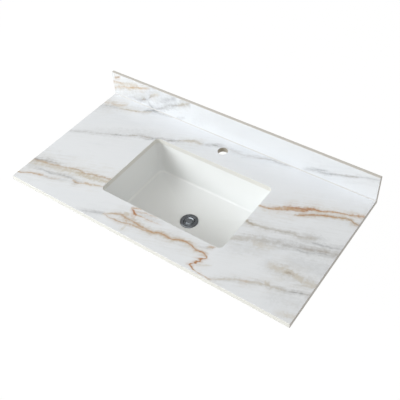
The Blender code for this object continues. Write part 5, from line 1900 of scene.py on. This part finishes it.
@dataclass(frozen=True)
class Studio:
    """The camera, the lamps, the even light of the surroundings and the floor."""

    eye: Triple = (0.9628, -1.4092, 1.5034)
    azimuth: float = radians(38.5446)
    elevation: float = radians(46.0191)
    roll: float = radians(-4.4767)
    lens: float = 57.24
    far_limit: float = 50.0
    middle: Triple = (0.0, -0.259, 0.0)
    lamps: tuple[Lamp, ...] = (
        Lamp("key", (-0.60, -0.66, 0.45), 6.0, (2.9, 2.9), (0.66, -0.60, 0.0), 266.0),
        Lamp("glint", (-0.234, -0.375, 0.897), 3.2, (5.4, 2.6), (0.947, 0.042, 0.268), 203.0,
             lights_dull=False))
    fill: float = 0.585
    fill_colour: Colour = (1.0, 0.98, 0.93)
    floor_level: float = -0.85
    floor_half: float = 9.0
    floor_colour: Colour = (0.86, 0.86, 0.85)
    glow_share: float = 0.95
    glow: float = 1.02

    def build(self) -> None:
        """Sets everything up."""
        self.camera()
        for lamp in self.lamps:
            lamp.build(Vector(self.middle))
        self.surroundings()
        self.floor()
        bpy.context.scene.view_settings.view_transform = "Standard"

    def camera(self) -> None:
        """The camera of the photograph."""
        level, lift = cos(self.elevation), sin(self.elevation)
        back = Vector((sin(self.azimuth) * level, -cos(self.azimuth) * level, lift))
        right = Vector((cos(self.azimuth), sin(self.azimuth), 0))
        up = back.cross(right)
        turned_right = right * cos(self.roll) + up * sin(self.roll)
        turned_up = up * cos(self.roll) - right * sin(self.roll)
        made = bpy.data.cameras.new("camera")
        made.lens = self.lens
        made.clip_end = self.far_limit
        bpy.context.scene.camera = aimed("camera", made, Vector(self.eye),
                                         (turned_right, turned_up, back))

    @staticmethod
    def seen(tree: Tree) -> Socket:
        """1 for a ray of the camera or of a mirror, which sees plain white."""
        paths = [tree.add("LightPath", output=f"Is {kind} Ray")
                 for kind in ("Camera", "Glossy", "Transmission")]
        return paths[0].highest(paths[1]).highest(paths[2])

    def surroundings(self) -> None:
        """Plain white to the eye, and an even light."""
        world = bpy.data.worlds.new("surroundings")
        tree = Tree(world)
        seen = self.seen(tree)
        colour = tree.blend(seen, self.fill_colour, WHITE)
        tree.close("OutputWorld", tree.add(
            "Background", None,
            {"Color": colour, "Strength": self.fill + seen * (1 - self.fill)}))
        bpy.context.scene.world = world

    def floor(self) -> None:
        """A pale floor that keeps a faint shadow. It is clear from below."""
        bm = bmesh.new()
        bmesh.ops.create_grid(bm, x_segments=1, y_segments=1, size=self.floor_half)
        bmesh.ops.translate(bm, verts=bm.verts, vec=(0, 0, self.floor_level))
        mesh = bpy.data.meshes.new("floor")
        bm.to_mesh(mesh)
        bm.free()
        material = bpy.data.materials.new("pale_floor")
        tree = Tree(material)
        matt = tree.add("BsdfDiffuse", None, {"Color": self.floor_colour})
        glow = tree.add("Emission", None, {"Color": WHITE, "Strength": self.glow})
        lit = tree.add("MixShader", None,
                       {0: self.seen(tree) * self.glow_share, 1: matt, 2: glow})
        clear = tree.add("BsdfTransparent")
        under = tree.add("NewGeometry", output="Backfacing")
        tree.close("OutputMaterial", tree.add(
            "MixShader", None, {0: under, 1: lit, 2: clear}))
        mesh.materials.append(material)
        linked("floor", mesh)


def main() -> None:
    """Builds every sub-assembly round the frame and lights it."""
    logging.basicConfig(level=logging.INFO, format="%(message)s")
    plan = Plan()
    for assembly in (Counter, Basin, Clamps, Drain, Stopper):
        assembly(plan).build()
    Studio().build()


if __name__ == "__main__":
    main()
